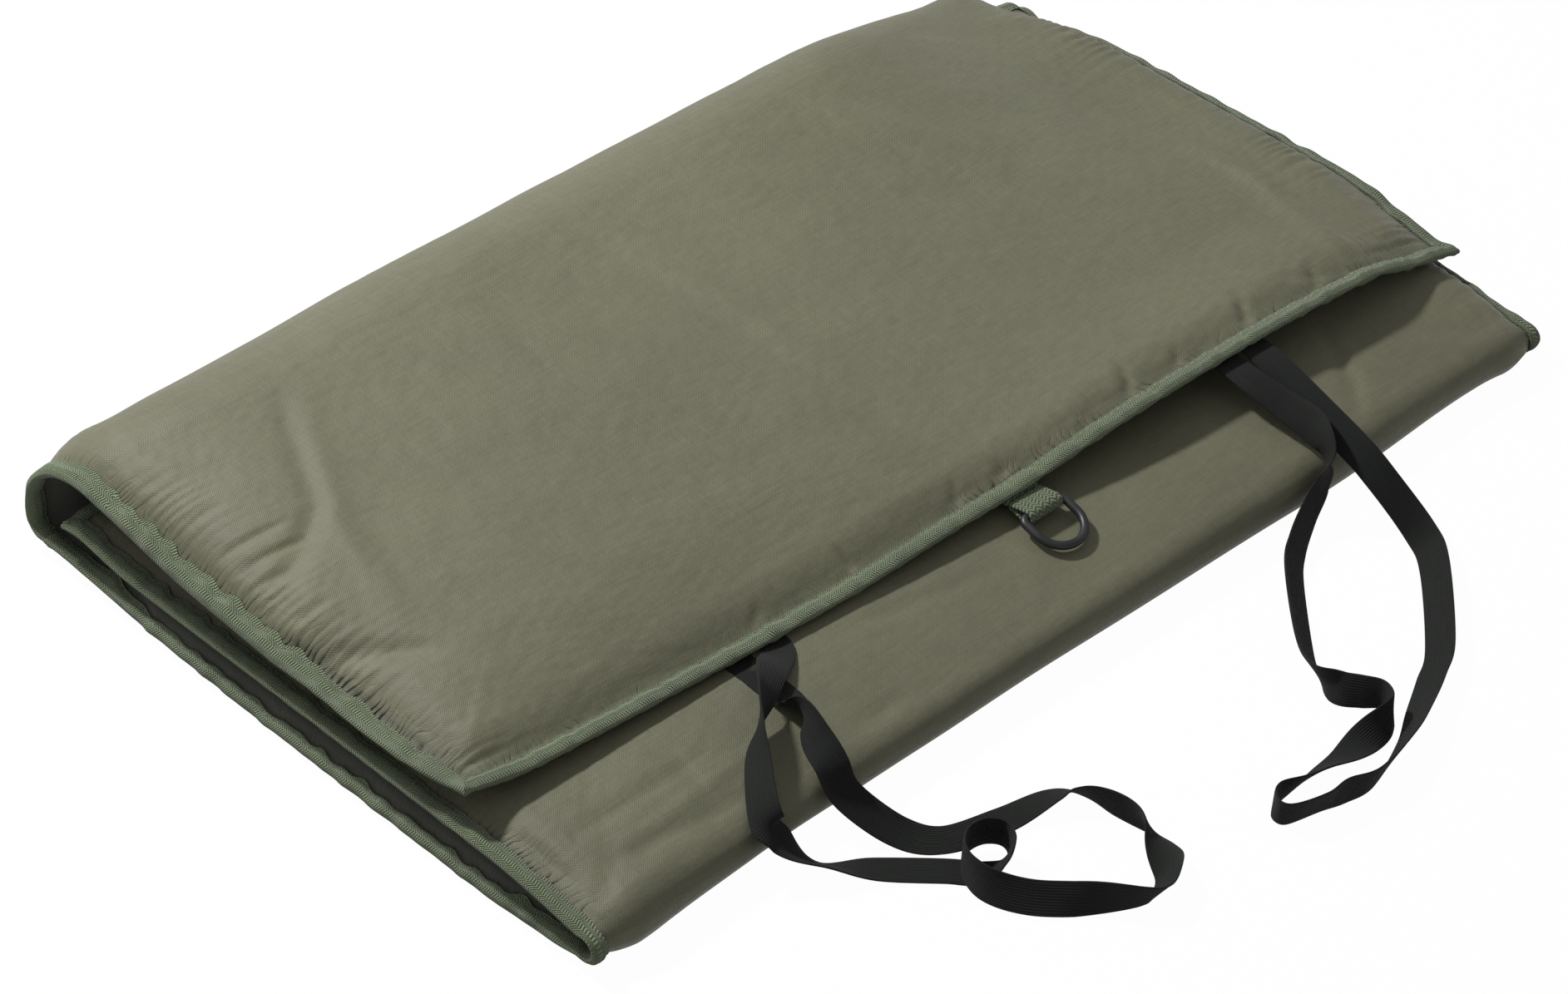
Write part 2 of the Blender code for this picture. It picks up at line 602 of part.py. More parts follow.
def build_sewn_end():
    """The end of the tab's webbing, sewn flat under the binding."""
    x, y, z = tab_axis()
    back = y + TAB_HALF + CLEARANCE
    slope = float(top_slope(np.array(TAB_PLACE)))
    rings = []
    for along in (back, back + SEWN_END_LENGTH):
        rise = (along - back) * math.tan(slope)
        rings.append([(x - TAB_WIDTH / 2, along, z + rise - TAB_HALF),
                      (x + TAB_WIDTH / 2, along, z + rise - TAB_HALF),
                      (x + TAB_WIDTH / 2, along, z + rise + TAB_HALF),
                      (x - TAB_WIDTH / 2, along, z + rise + TAB_HALF)])
    strip("webbing_tab_sewn_end", [(rings, BAND_ORDER, FLAT_ENDS)], WEBBING)


def ring_outline():
    """The D-ring's middle line: bar, two legs and half a circle, as (across, outward)."""
    half = (RING_INNER_WIDTH + RING_ROD) / 2
    corner = RING_CORNER_RADIUS
    points = []
    for turn in np.linspace(math.pi, 1.5 * math.pi, CORNER_CELLS + 1):
        points.append((-half + corner + corner * math.cos(turn), corner + corner * math.sin(turn)))
    for turn in np.linspace(-math.pi / 2, 0, CORNER_CELLS + 1):
        points.append((half - corner + corner * math.cos(turn), corner + corner * math.sin(turn)))
    for turn in np.linspace(0, math.pi, ARC_CELLS + 1):
        points.append((half * math.cos(turn), RING_DEPTH - half + half * math.sin(turn)))
    return np.array(points)


def build_ring():
    line = ring_outline()
    along = np.roll(line, -1, axis=0) - np.roll(line, 1, axis=0)
    along /= np.linalg.norm(along, axis=1, keepdims=True)
    shape = bmesh.new()
    rows = []
    for (across, outward), (ax, ay) in zip(line, along):
        row = []
        for turn in np.arange(ROUND_SIDES) * 2 * math.pi / ROUND_SIDES:
            side, up = RING_ROD / 2 * math.cos(turn), RING_ROD / 2 * math.sin(turn)
            row.append(shape.verts.new((across + ay * side, -(outward - ax * side), up)))
        rows.append(row)
    for row, following in zip(rows, rows[1:] + rows[:1]):
        for k in range(ROUND_SIDES):
            n = (k + 1) % ROUND_SIDES
            shape.faces.new((row[k], row[n], following[n], following[k]))
    bmesh.ops.recalc_face_normals(shape, faces=shape.faces)
    mesh = bpy.data.meshes.new("d_ring")
    shape.to_mesh(mesh)
    shape.free()
    ring = add_object("d_ring", mesh, RING_PLASTIC)
    x, y, z = tab_axis()
    ring.location = (x, y - TAB_REACH, z)
    ring.rotation_euler = (RING_TILT, 0, 0)


def print_facts():
    """Sizes that the record needs, in metres."""
    print("tab axis", tab_axis(), "slope", math.degrees(FULL_TURN) - 180)
    for turn in HINGE_TURNS:
        line = back_fold_at(np.array(0.0), turn)
        y = float(line["y"] + line["out_y"] * line["half"])
        z = float(line["z"] + line["out_z"] * line["half"])
        print(f"hinge at turn {math.degrees(turn):.1f}: y {y:.5f} z {z:.5f}")


def clear_scene():
    for old in list(bpy.data.objects):
        bpy.data.objects.remove(old, do_unlink=True)


clear_scene()
build_mat()
build_tab()
build_sewn_end()
build_ring()
elastic_loop("elastic_loop_left", LEFT_ROUTE)
elastic_loop("elastic_loop_right", RIGHT_ROUTE)
print_facts()
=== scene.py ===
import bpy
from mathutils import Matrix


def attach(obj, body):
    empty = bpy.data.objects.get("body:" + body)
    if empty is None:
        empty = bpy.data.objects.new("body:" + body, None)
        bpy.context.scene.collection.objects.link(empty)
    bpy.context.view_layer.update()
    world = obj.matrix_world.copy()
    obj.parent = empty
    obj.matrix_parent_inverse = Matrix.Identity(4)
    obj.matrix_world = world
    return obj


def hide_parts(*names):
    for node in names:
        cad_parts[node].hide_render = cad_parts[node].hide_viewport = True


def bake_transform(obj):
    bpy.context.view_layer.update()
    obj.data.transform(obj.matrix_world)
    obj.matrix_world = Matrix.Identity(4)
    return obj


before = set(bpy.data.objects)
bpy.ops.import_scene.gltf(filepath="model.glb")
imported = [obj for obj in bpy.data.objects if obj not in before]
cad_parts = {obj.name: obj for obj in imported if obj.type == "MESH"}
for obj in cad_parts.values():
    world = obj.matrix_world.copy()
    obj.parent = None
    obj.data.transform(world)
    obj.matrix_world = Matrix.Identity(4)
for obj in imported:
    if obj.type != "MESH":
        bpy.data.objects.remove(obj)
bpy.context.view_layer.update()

import math
import bmesh
import bpy
import numpy as np
from mathutils import Matrix, Vector

print("frame loaded")

# The folded mat's own sizes, in metres and radians; droopBack and droopFront are shares of the flap's depth
mat = {
    "length": 0.600, "depth": 0.365, "foldHeight": 0.070, "panel": 0.0145, "clearance": 0.0003,
    "cloth": 0.0005, "crown": 0.019, "frontFold": 0.011, "layerGap": 0.001, "frontTaper": 0.060,
    "wallGap": 0.013, "edgeLift": 0.004, "liftLength": 0.045, "bottomDroop": 0.0035,
    "lowerRadius": 0.009, "lowerTurn": math.radians(80), "ear": 0.005,
    "overhangLeft": 0.078, "overhangRight": 0.053, "edgeHeight": 0.040, "waveLength": 0.070,
    "leftDroop": 0.006, "rightLift": 0.004, "droopWidth": 0.045, "droopBack": 0.3, "droopFront": 0.3,
    "foldRun": 0.088, "flapRun": 0.245,
}
# Heights along the mat: the ridge's as shares of foldHeight, the front edge's as shares of edgeHeight
ridgePlaces = (-1.0, -0.8, -0.5, 0.0, 0.30, 0.42, 0.56, 0.68, 0.84, 1.0)
ridgeShares = (0.90, 1.065, 1.04, 0.995, 1.02, 1.01, 0.95, 0.81, 0.60, 0.53)
frontPlaces = (-1.0, -0.8, -0.62, -0.45, -0.3, -0.1, 0.05, 0.2, 0.37, 0.6, 0.8, 0.9, 1.0)
frontShares = (1.03, 0.93, 0.88, 0.84, 0.84, 0.92, 0.97, 1.08, 1.17, 1.22, 1.16, 0.95, 0.80)
tape = {"width": 0.0086, "thick": 0.0008, "slot": 0.0003, "clothIn": 0.0015, "crownIn": 0.0006,
        "stitchIn": 0.0074, "dome": 0.0010, "waver": 0.0007, "uneven": 0.16, "groove": 0.25,
        "grooveWidth": 0.0009}

halfLength = mat["length"] / 2
halfPanel = mat["panel"] / 2
halfFront = mat["frontFold"] / 2
seamHalf = mat["clearance"] / 2 + mat["cloth"]
crownStart = tape["width"] + tape["crownIn"]
tapeInside = seamHalf + tape["slot"]
tapeOutside = tapeInside + tape["thick"]
frontRadius = halfFront + mat["layerGap"] / 2
frontY = -mat["depth"] / 2 + frontRadius + halfFront
frontZ = halfFront + frontRadius
flapZ = mat["panel"] + mat["layerGap"] + halfPanel
lowerRise = mat["lowerRadius"] * (1 - math.cos(mat["lowerTurn"]))
upperRadius = (mat["foldHeight"] - mat["panel"] - lowerRise) / (1 + math.cos(mat["lowerTurn"]))
bulge = mat["lowerRadius"] * math.sin(mat["lowerTurn"]) + upperRadius * (1 - math.sin(mat["lowerTurn"]))
backY = mat["depth"] / 2 - halfPanel - bulge
flapEndY = mat["depth"] / 2 - mat["panel"] - mat["wallGap"]
farIn = 1.0  # farther in than the padding of any end reaches


def ease(share):  # smooth rise from 0 to 1: 3 s^2 - 2 s^3
    share = np.clip(share, 0, 1)
    return share * share * (3 - 2 * share)


def swell(distance, width):  # quarter sine from 0 to 1 over the width
    return np.sin(np.clip(distance / width, 0, 1) * math.pi / 2)


def through(at, places, values):  # cubic through the values, its slopes limited so it never overshoots
    places, values = np.array(places), np.array(values)
    steps = np.diff(places)
    secants = np.diff(values) / steps
    before, after = secants[:-1], secants[1:]
    sameWay = before * after > 0
    inner = np.where(sameWay, 2 * before * after / np.where(sameWay, before + after, 1), 0)
    slopes = np.concatenate([secants[:1], inner, secants[-1:]])
    k = np.clip(np.searchsorted(places, at, side="right") - 1, 0, len(steps) - 1)
    t = np.clip((at - places[k]) / steps[k], 0, 1)
    rise = secants[k] * steps[k]
    first, last = slopes[k] * steps[k], slopes[k + 1] * steps[k]
    return values[k] + t * first + t * t * (3 * rise - 2 * first - last) + t ** 3 * (first + last - 2 * rise)


def tabled(at, pairs):  # straight lines through pairs of a place and its value
    return np.interp(at, *zip(*pairs))


def travelled(points):  # the distance run up to each point of a line
    return np.concatenate([[0], np.cumsum(np.linalg.norm(np.diff(points, axis=0), axis=1))])


def unit(vectors):  # each vector divided by its length
    return vectors / np.linalg.norm(vectors, axis=-1, keepdims=True)


# The cloth's middle surface, strip by strip. Each gives y, z, the outward direction and half the padding
def padding(x, full, inward):
    side, end = halfLength - np.abs(x), inward
    crown = swell(side - crownStart, mat["crown"]) * swell(end - crownStart, mat["crown"])
    return seamHalf + (full - seamHalf) * crown


def nearSide(x):
    return np.clip(1 - (halfLength - np.abs(x)) / mat["droopWidth"], 0, 1) ** 2


def earAt(x, turn):
    return mat["ear"] * nearSide(x) * np.sin(np.clip(turn, 0, math.pi)) ** 2


def section(y, z, turn, half):
    return np.stack(np.broadcast_arrays(y, z, np.sin(turn), -np.cos(turn), half))


def bottomAt(x, y):  # level, thinner towards the front fold, its sides hanging a little
    grow = swell(y - frontY, mat["frontTaper"])
    full = halfFront + (halfPanel - halfFront) * grow
    away = 1 - swell(halfLength - np.abs(x) - crownStart, mat["crown"])
    droop = mat["bottomDroop"] * away * grow * (1 - ease(y / backY))
    return section(y, full - droop, 0 * x, padding(x, full, farIn))


def frontFoldAt(x, angle):  # half a turn round the crease
    radius = frontRadius + earAt(x, angle)
    return section(frontY - radius * np.sin(angle), frontZ - radius * np.cos(angle), -angle + 0 * x,
                   padding(x, halfFront, farIn))


def innerFlapAt(x, y):  # rises from the crease to the panel's height, its free edge turned up
    grow = swell(y - frontY, mat["frontTaper"])
    full = halfFront + (halfPanel - halfFront) * grow
    z = frontZ + frontRadius + (flapZ - frontZ - frontRadius) * grow
    z = z + mat["edgeLift"] * ease((y - flapEndY) / mat["liftLength"] + 1)
    return section(y, z, math.pi + 0 * x, padding(x, full, flapEndY - y))


def backLine(x, turn):  # a small circle up to the lower turn, then a wide one as high as the ridge there
    ridge = mat["foldHeight"] * through(x / halfLength, ridgePlaces, ridgeShares)
    radius = (ridge - mat["panel"] - lowerRise) / (1 + math.cos(mat["lowerTurn"]))
    low, high = np.minimum(turn, mat["lowerTurn"]), np.maximum(turn, mat["lowerTurn"])
    out = earAt(x, turn)
    y = (backY + mat["lowerRadius"] * np.sin(low) + radius * (np.sin(high) - math.sin(mat["lowerTurn"]))
         + out * np.sin(turn))
    z = (halfPanel + mat["lowerRadius"] * (1 - np.cos(low))
         + radius * (math.cos(mat["lowerTurn"]) - np.cos(high)) - out * np.cos(turn))
    return y, z


def backFoldAt(x, turn):
    y, z = backLine(x, turn)
    return section(y, z, turn + 0 * x, padding(x, halfPanel, farIn))


def frontEdgeY(x):
    across = (x + halfLength) / mat["length"]
    return -mat["depth"] / 2 + mat["overhangLeft"] + (mat["overhangRight"] - mat["overhangLeft"]) * across


def topSlope(x):
    y, z = backLine(x, math.pi)
    return np.arctan2(z - mat["edgeHeight"], y - frontEdgeY(x))


def topReach(x):
    y, z = backLine(x, math.pi + topSlope(x))
    return y - frontEdgeY(x)


def topFlapAt(x, inward):  # straight from the fold to the front edge, plus the edge's waves and side sags
    slope = topSlope(x)
    startY, startZ = backLine(x, math.pi + slope)
    share = 1 - inward / (startY - frontEdgeY(x))
    y = startY - (startY - frontEdgeY(x)) * share
    z = startZ - (startZ - mat["edgeHeight"]) * share
    wave = through(x / halfLength, frontPlaces, frontShares) - 1
    z = z + mat["edgeHeight"] * wave * (1 - ease(inward / mat["waveLength"]))
    middle = ease(share / mat["droopBack"]) * ease((1 - share) / mat["droopFront"])
    z = z + np.where(x < 0, -mat["leftDroop"], mat["rightLift"]) * middle * nearSide(x)
    return section(y, z, math.pi + slope, padding(x, halfPanel, inward))


# Distance q along the cloth from the inner flap's free edge to the top flap's front edge
flapQ = flapEndY - frontY
creaseQ = flapQ + math.pi * frontRadius
bottomQ = creaseQ + backY - frontY
foldQ = bottomQ + mat["foldRun"]
topQ = foldQ + mat["flapRun"]
topStart = (bottomQ + foldQ) / 2  # from here on the free edge is the top flap's


def matAt(x, q):
    x, q = np.broadcast_arrays(np.asarray(x, float), np.asarray(q, float))
    strips = [
        innerFlapAt(x, flapEndY - np.minimum(q, flapQ)),
        frontFoldAt(x, math.pi * (1 - np.clip((q - flapQ) / (creaseQ - flapQ), 0, 1))),
        bottomAt(x, frontY + np.clip(q - creaseQ, 0, bottomQ - creaseQ)),
        backFoldAt(x, (math.pi + topSlope(x)) * np.clip((q - bottomQ) / (foldQ - bottomQ), 0, 1)),
        topFlapAt(x, topReach(x) * (1 - np.clip((q - foldQ) / (topQ - foldQ), 0, 1))),
    ]
    zone = np.searchsorted([flapQ, creaseQ, bottomQ, foldQ], q)
    return np.choose(zone[None], np.stack(strips, 0))


# How far the bound edges roll towards the flap's inner face, in degrees, at distances q along each side
tilts = {
    "left": ((0, 18), (0.08, 12), (0.16, -4), (0.30, 0), (flapQ, 8), (creaseQ, 10), (creaseQ + 0.012, -30),
             (creaseQ + 0.05, -80), (bottomQ - 0.07, -80), (bottomQ - 0.01, 15), (foldQ - 0.03, 12),
             (foldQ + 0.01, 34), (0.896, 32), (0.920, -10), (topQ, -6)),
    "right": ((0, 45), (flapQ - 0.02, 45), (flapQ, 20), (creaseQ, 20), (creaseQ + 0.03, 50),
              (bottomQ - 0.02, 50), (bottomQ + 0.02, 52), (foldQ, 50), (0.95, 34), (topQ - 0.01, 6)),
    "front": -14, "rear": 12,
}
rolling = {
    "start": 0.0165, "bend": 0.009, "spread": 0.060, "keepFront": 0.5, "least": 1e-4,
    "keepLeft": ((creaseQ, 0.62), (creaseQ + 0.02, 0.77), (bottomQ - 0.06, 0.77), (bottomQ, 0.62)),
    "keepRight": ((0, 0.35), (bottomQ, 0.22), (foldQ, 0.4), (topQ, 0.5)),
    "spreadLeft": ((creaseQ, 0.060), (creaseQ + 0.03, 0.036), (bottomQ - 0.06, 0.036), (bottomQ, 0.060)),
}
# The back right corner sinks inwards and down, and the front left one is pulled in
corners = {"sinkIn": 0.006, "sink": 0.009, "sinkFrom": 0.76, "sinkOver": 0.24, "sinkBack": 0.005,
           "sinkReach": 0.035, "pull": 0.0035, "pullFrom": 0.87, "pullOver": 0.13, "pullReach": 0.040}


def rolled(inside, angle):
    # A strip bent round its edge, an arc and then straight. Gives the way in, the drop and the angle
    run = np.clip(rolling["start"] - inside, 0, None)
    angle = np.where(np.abs(angle) < rolling["least"], rolling["least"], angle)
    radius = rolling["bend"] / angle
    arc = np.minimum(run, rolling["bend"])
    turned = angle * arc / rolling["bend"]
    straight = run - arc
    out = radius * np.sin(turned) + straight * np.cos(angle)
    drop = radius * (1 - np.cos(turned)) + straight * np.sin(angle)
    return run - out, drop, turned


def surfaceAt(x, q, offset):
    # Points at an offset from the cloth's middle surface, its edges rolled, and the way outwards there
    x, q, offset = np.broadcast_arrays(np.asarray(x, float), np.asarray(q, float), np.asarray(offset, float))
    y, z, outY, outZ, half = matAt(x, q)
    left = x < 0
    way = np.where(left, -1.0, 1.0)
    side = halfLength - np.abs(x)
    angle = np.radians(np.where(left, tabled(q, tilts["left"]), tabled(q, tilts["right"])))
    shift, drop, turn = rolled(side, angle)
    fullShift, fullDrop, _ = rolled(0 * side, angle)
    near = ease(1 - side / np.where(left, tabled(q, rolling["spreadLeft"]), rolling["spread"]))
    across = way * (near * fullShift - shift)
    keep = np.where(left, tabled(q, rolling["keepLeft"]), tabled(q, rolling["keepRight"]))
    lift = near * fullDrop * keep - drop
    top = q > topStart
    inward = np.where(top, topReach(x) * (1 - (q - foldQ) / (topQ - foldQ)), q)
    share = x / halfLength
    endAngle = np.radians(np.where(top, tilts["front"], tilts["rear"]))
    shift, drop, endTurn = rolled(inward, endAngle)
    fullShift, fullDrop, _ = rolled(0 * inward, endAngle)
    near = ease(1 - inward / rolling["spread"])
    along = np.where(top, 1.0, -1.0) * (near * fullShift - shift)
    lift = lift + near * fullDrop * rolling["keepFront"] - drop
    sunk = ease((share - corners["sinkFrom"]) / corners["sinkOver"])
    sunk = sunk * np.exp(-((q - foldQ + corners["sinkBack"]) / corners["sinkReach"]) ** 2)
    pulled = corners["pull"] * ease((-share - corners["pullFrom"]) / corners["pullOver"])
    pulled = pulled * ease((q - topQ + corners["pullReach"]) / corners["pullReach"])
    alongY, alongZ = -outZ, outY
    normalX = way * np.sin(turn)
    flat = np.cos(turn) * np.cos(endTurn)
    over = np.where(top, 1.0, -1.0) * np.sin(endTurn) * np.cos(turn)
    normalY, normalZ = outY * flat + alongY * over, outZ * flat + alongZ * over
    return np.stack([x + across + normalX * offset - corners["sinkIn"] * sunk + pulled,
                     y + outY * lift + alongY * along + normalY * offset + pulled,
                     z + outZ * lift + alongZ * along + normalZ * offset - corners["sink"] * sunk], -1), half


# The cloth is cut across the back fold into pieces, at planes set by four hinge directions
cutting = {"first": 0.146, "last": -0.100, "before": 0.05, "after": 0.12, "samples": 900, "apart": 0.004}
hingeTurns = [(k + 0.5) * (math.pi + float(topSlope(np.array(0.0)))) / 4 for k in range(4)]
foldBodies = ["base", "fold_lower", "fold_middle", "fold_upper", "top_flap"]
hingeWays = [np.array([math.cos(t), math.sin(t)]) for t in hingeTurns]
cutTurns = [(a + b) / 2 for a, b in zip(hingeTurns, hingeTurns[1:])]
cutWays = [hingeWays[0], *[np.array([math.cos(t), math.sin(t)]) for t in cutTurns], hingeWays[3]]
cutMiddles = [float(np.dot(w, backLine(np.array(0.0), t))) for w, t in zip(cutWays[1:], cutTurns)]
cutEnds = [cutting["first"], *cutMiddles, cutting["last"]]


def cutRows(x):  # where the middle surface first passes each cutting plane, for each x
    q = np.linspace(bottomQ - cutting["before"], foldQ + cutting["after"], cutting["samples"])
    y, z = matAt(x[None], q[:, None])[:2]
    found = []
    for way, end in zip(cutWays, cutEnds):
        past = y * way[0] + z * way[1] - end
        beyond = q[:, None] > (found[-1] if found else 0) + cutting["apart"]
        k = np.argmax((past > 0) & beyond, axis=0)
        column = np.arange(len(x))
        before, after = past[k - 1, column], past[k, column]
        found.append(q[k - 1] + (q[k] - q[k - 1]) * before / (before - after))
    return found


# The rows before the first cut: most of them up to a knee just past the inner flap, the rest beneath
knees = {"rows": 0.72, "rest": 0.28, "past": 0.05}


def rowsAt(x, inward, counts):
    # q for each row and x: from the inner flap's edge to the top flap's, with a row on every cut
    cuts = cutRows(x)
    last = foldQ + (topQ - foldQ) * (1 - inward / topReach(x))
    stops = [0 * x + inward, *cuts, last]
    knee = (flapQ + knees["past"]) / cuts[0].mean()
    rows, marks = [], [0]
    for k, (a, b) in enumerate(zip(stops, stops[1:])):
        t = np.linspace(0, 1, counts[k] + 1)[:, None]
        if k == 0:
            under = knee + (t - knees["rows"]) / knees["rest"] * (1 - knee)
            t = np.where(t < knees["rows"], t / knees["rows"] * knee, under)
        else:
            t = t[1:]
        rows.append(a + (b - a) * t)
        marks.append(marks[-1] + counts[k])
    return np.concatenate(rows), marks


def addMesh(name, points, faces):
    mesh = bpy.data.meshes.new(name)
    mesh.from_pydata(points.reshape(-1, 3).tolist(), [], faces.tolist())
    mesh.update()
    made = bpy.data.objects.new(name, mesh)
    bpy.context.collection.objects.link(made)
    mesh.shade_smooth()
    return made


def quads(rows, columns, wrapRows=False, wrapColumns=False):  # vertex numbers of a grid's cells
    number = np.arange(rows * columns).reshape(rows, columns)
    if wrapRows:
        number = np.concatenate([number, number[:1]])
    if wrapColumns:
        number = np.concatenate([number, number[:, :1]], axis=1)
    return np.stack([number[:-1, :-1], number[:-1, 1:], number[1:, 1:], number[1:, :-1]], -1).reshape(-1, 4)


def pointsOut(obj, close=False):  # its open ends closed if asked, and its faces turned outwards
    shape = bmesh.new()
    shape.from_mesh(obj.data)
    if close:
        bmesh.ops.holes_fill(shape, edges=[e for e in shape.edges if e.is_boundary], sides=0)
    bmesh.ops.recalc_face_normals(shape, faces=shape.faces)
    shape.to_mesh(obj.data)
    shape.free()


def dress(obj, body, material, nodes=(), uv=None):
    if uv is not None:  # one pair of cloth metres for each vertex
        layer = obj.data.uv_layers.new(name="cloth")
        corner = np.zeros(len(obj.data.loops), int)
        obj.data.loops.foreach_get("vertex_index", corner)
        layer.data.foreach_set("uv", uv.reshape(-1, 2)[corner].astype(np.float32).ravel())
    obj.data.materials.append(material)
    if nodes:
        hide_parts(*nodes)
    if body:
        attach(obj, body)


# Shader nodes written as expressions
class Flow:
    def __init__(self, shader, socket):
        self.shader, self.socket = shader, socket

    def maths(self, operation, *others):
        return self.shader.node("ShaderNodeMath", {"operation": operation}, dict(enumerate([self, *others])))

    def __add__(self, other):
        return self.maths("ADD", other)

    def __mul__(self, other):
        return self.maths("MULTIPLY", other)

    def __sub__(self, other):
        return self.maths("SUBTRACT", other)

    def __rsub__(self, other):
        return self.shader.node("ShaderNodeMath", {"operation": "SUBTRACT"}, {0: other, 1: self})

    def __abs__(self):
        return self.maths("ABSOLUTE")

    __radd__ = __add__
    __rmul__ = __mul__

    def sine(self):
        return self.maths("SINE")


class Shader:
    def __init__(self, name):
        self.material = bpy.data.materials.new(name)
        self.material.use_nodes = True
        self.tree = self.material.node_tree
        self.tree.nodes.clear()

    def node(self, kind, settings=(), sockets=(), out=0):
        made = self.tree.nodes.new(kind)
        for key, value in dict(settings).items():
            if key == "stops":
                ramp = made.color_ramp
                while len(ramp.elements) < len(value):
                    ramp.elements.new(0.5)
                for element, (place, colour) in zip(ramp.elements, value):
                    element.position, element.color = place, colour
            else:
                setattr(made, key, value)
        for key, value in dict(sockets).items():
            if isinstance(value, Flow):
                self.tree.links.new(value.socket, made.inputs[key])
            else:
                made.inputs[key].default_value = value
        return Flow(self, made.outputs[out])

    def cloth(self):  # the piece's own coordinates along and across the cloth, in metres
        uv = self.node("ShaderNodeUVMap", {"uv_map": "cloth"})
        return uv, *[self.node("ShaderNodeSeparateXYZ", {}, {0: uv}, k) for k in (0, 1)]

    def place(self):
        return self.node("ShaderNodeTexCoord", out="Object")

    def stretch(self, vector, x, y, z=1.0):
        return self.node("ShaderNodeVectorMath", {"operation": "MULTIPLY"}, {0: vector, 1: (x, y, z)})

    def noise(self, vector, scale, detail=3.0, rough=0.5):
        sockets = {"Vector": vector, "Scale": scale, "Detail": detail, "Roughness": rough}
        return self.node("ShaderNodeTexNoise", {}, sockets)

    def mix(self, share, low, high):
        return self.node("ShaderNodeMix", {"data_type": "RGBA"}, {0: share, 6: low, 7: high}, 2)

    def band(self, value, low, high):
        sockets = {0: value, 1: low, 2: high}
        return self.node("ShaderNodeMapRange", {"interpolation_type": "SMOOTHSTEP"}, sockets)

    def bump(self, height, distance, strength=1.0, normal=None):
        sockets = {"Height": height, "Distance": distance, "Strength": strength}
        if normal:
            sockets["Normal"] = normal
        return self.node("ShaderNodeBump", {}, sockets)

    def end(self, surface):
        output = self.tree.nodes.new("ShaderNodeOutputMaterial")
        self.tree.links.new(surface.socket, output.inputs["Surface"])
        return self.material

    def finish(self, **sockets):
        named = {key.replace("_", " "): value for key, value in sockets.items()}
        return self.end(self.node("ShaderNodeBsdfPrincipled", {}, named))


def tint(colour, gain=1.0):
    return (*[c * gain for c in colour], 1)


# The two covers, and what they share: the weave's and the pleats' spacing in metres, and how the pleats bend
outerCloth = {"colour": (0.136, 0.134, 0.085), "rough": 0.58, "sheen": 0.12}
innerCloth = {"colour": (0.060, 0.062, 0.050), "rough": 0.66, "sheen": 0.05}
clothLook = {"weave": 0.0011, "pleat": 0.0034, "pleatBend": 22}


def makeCloth(name, colour, rough, sheen):
    s = Shader(name)
    uv, u, v = s.cloth()
    where = s.place()
    perMetre = 2 * math.pi / clothLook["weave"]
    threads = (u * perMetre).sine() * (v * perMetre).sine()
    slub = s.noise(s.stretch(uv, 60, 900), 1.0, 2.0)
    slubAcross = s.noise(s.stretch(uv, 900, 60), 1.0, 2.0)
    patches = s.noise(where, 9.0, 4.0, 0.6)
    fine = s.noise(where, 260.0, 3.0, 0.6)
    crumple = s.noise(where, 45.0, 4.0, 0.55)
    wavy = s.noise(s.stretch(uv, 40, 40), 1.0, 2.0)
    besideSide = s.node("ShaderNodeAttribute", {"attribute_name": "gatherSide"}, {}, 2)
    besideEnd = s.node("ShaderNodeAttribute", {"attribute_name": "gatherEnd"}, {}, 2)
    pleats = []
    for along, strength in ((v, besideSide), (u, besideEnd)):
        turn = along * (math.pi / clothLook["pleat"]) + wavy * clothLook["pleatBend"]
        dent = 1 - abs(turn.sine())
        uneven = s.band(s.noise(s.stretch(uv, 130, 130), 1.0, 2.0), 0.38, 0.62)
        pleats.append(dent * dent * strength * (uneven * 0.9 + 0.2))
    pleat = pleats[0] + pleats[1]
    # Painted shade beside the tapes: a dark rim where the cloth is gathered most
    rim = s.band(besideSide + besideEnd, 0.1, 0.5)
    shade = (slub - 0.5) * 0.5 + (slubAcross - 0.5) * 0.4 + (patches - 0.5) * 0.7 + (fine - 0.5) * 0.25
    base = s.mix(s.band(shade + 0.5, 0.1, 0.9), tint(colour, 0.84), tint(colour, 1.16))
    # Painted shade: the colour is pulled towards 0.22 of itself in the pleats' valleys and along the rim
    # beside the tapes
    base = s.mix(s.band(pleat * 1.4 + rim * 0.45, 0.0, 1.0), base, tint(colour, 0.22))
    height = threads * 0.25 + fine * 0.5 + (slub + slubAcross) * 0.35
    normal = s.bump(height, 0.00035, 0.55, s.bump(crumple, 0.0022, 0.45, s.bump(pleat * -1.0, 0.0018, 0.8)))
    return s.finish(Base_Color=base, Roughness=rough + (fine - 0.5) * 0.12, Normal=normal,
                    Sheen_Weight=sheen, Sheen_Roughness=0.45, Specular_IOR_Level=0.38)


clothOut = makeCloth("outer_cloth", **outerCloth)
clothIn = makeCloth("inner_cloth", **innerCloth)

# Tapes: colour, the spacing of their ribs and how deep these stand
bindingLook = {"colour": (0.186, 0.230, 0.130), "period": 0.00130, "depth": 0.0008}
webbingLook = {"colour": (0.150, 0.192, 0.100), "period": 0.00200, "depth": 0.0014}
ribTurn = 0.0022  # the ribs slant the other way after this distance across


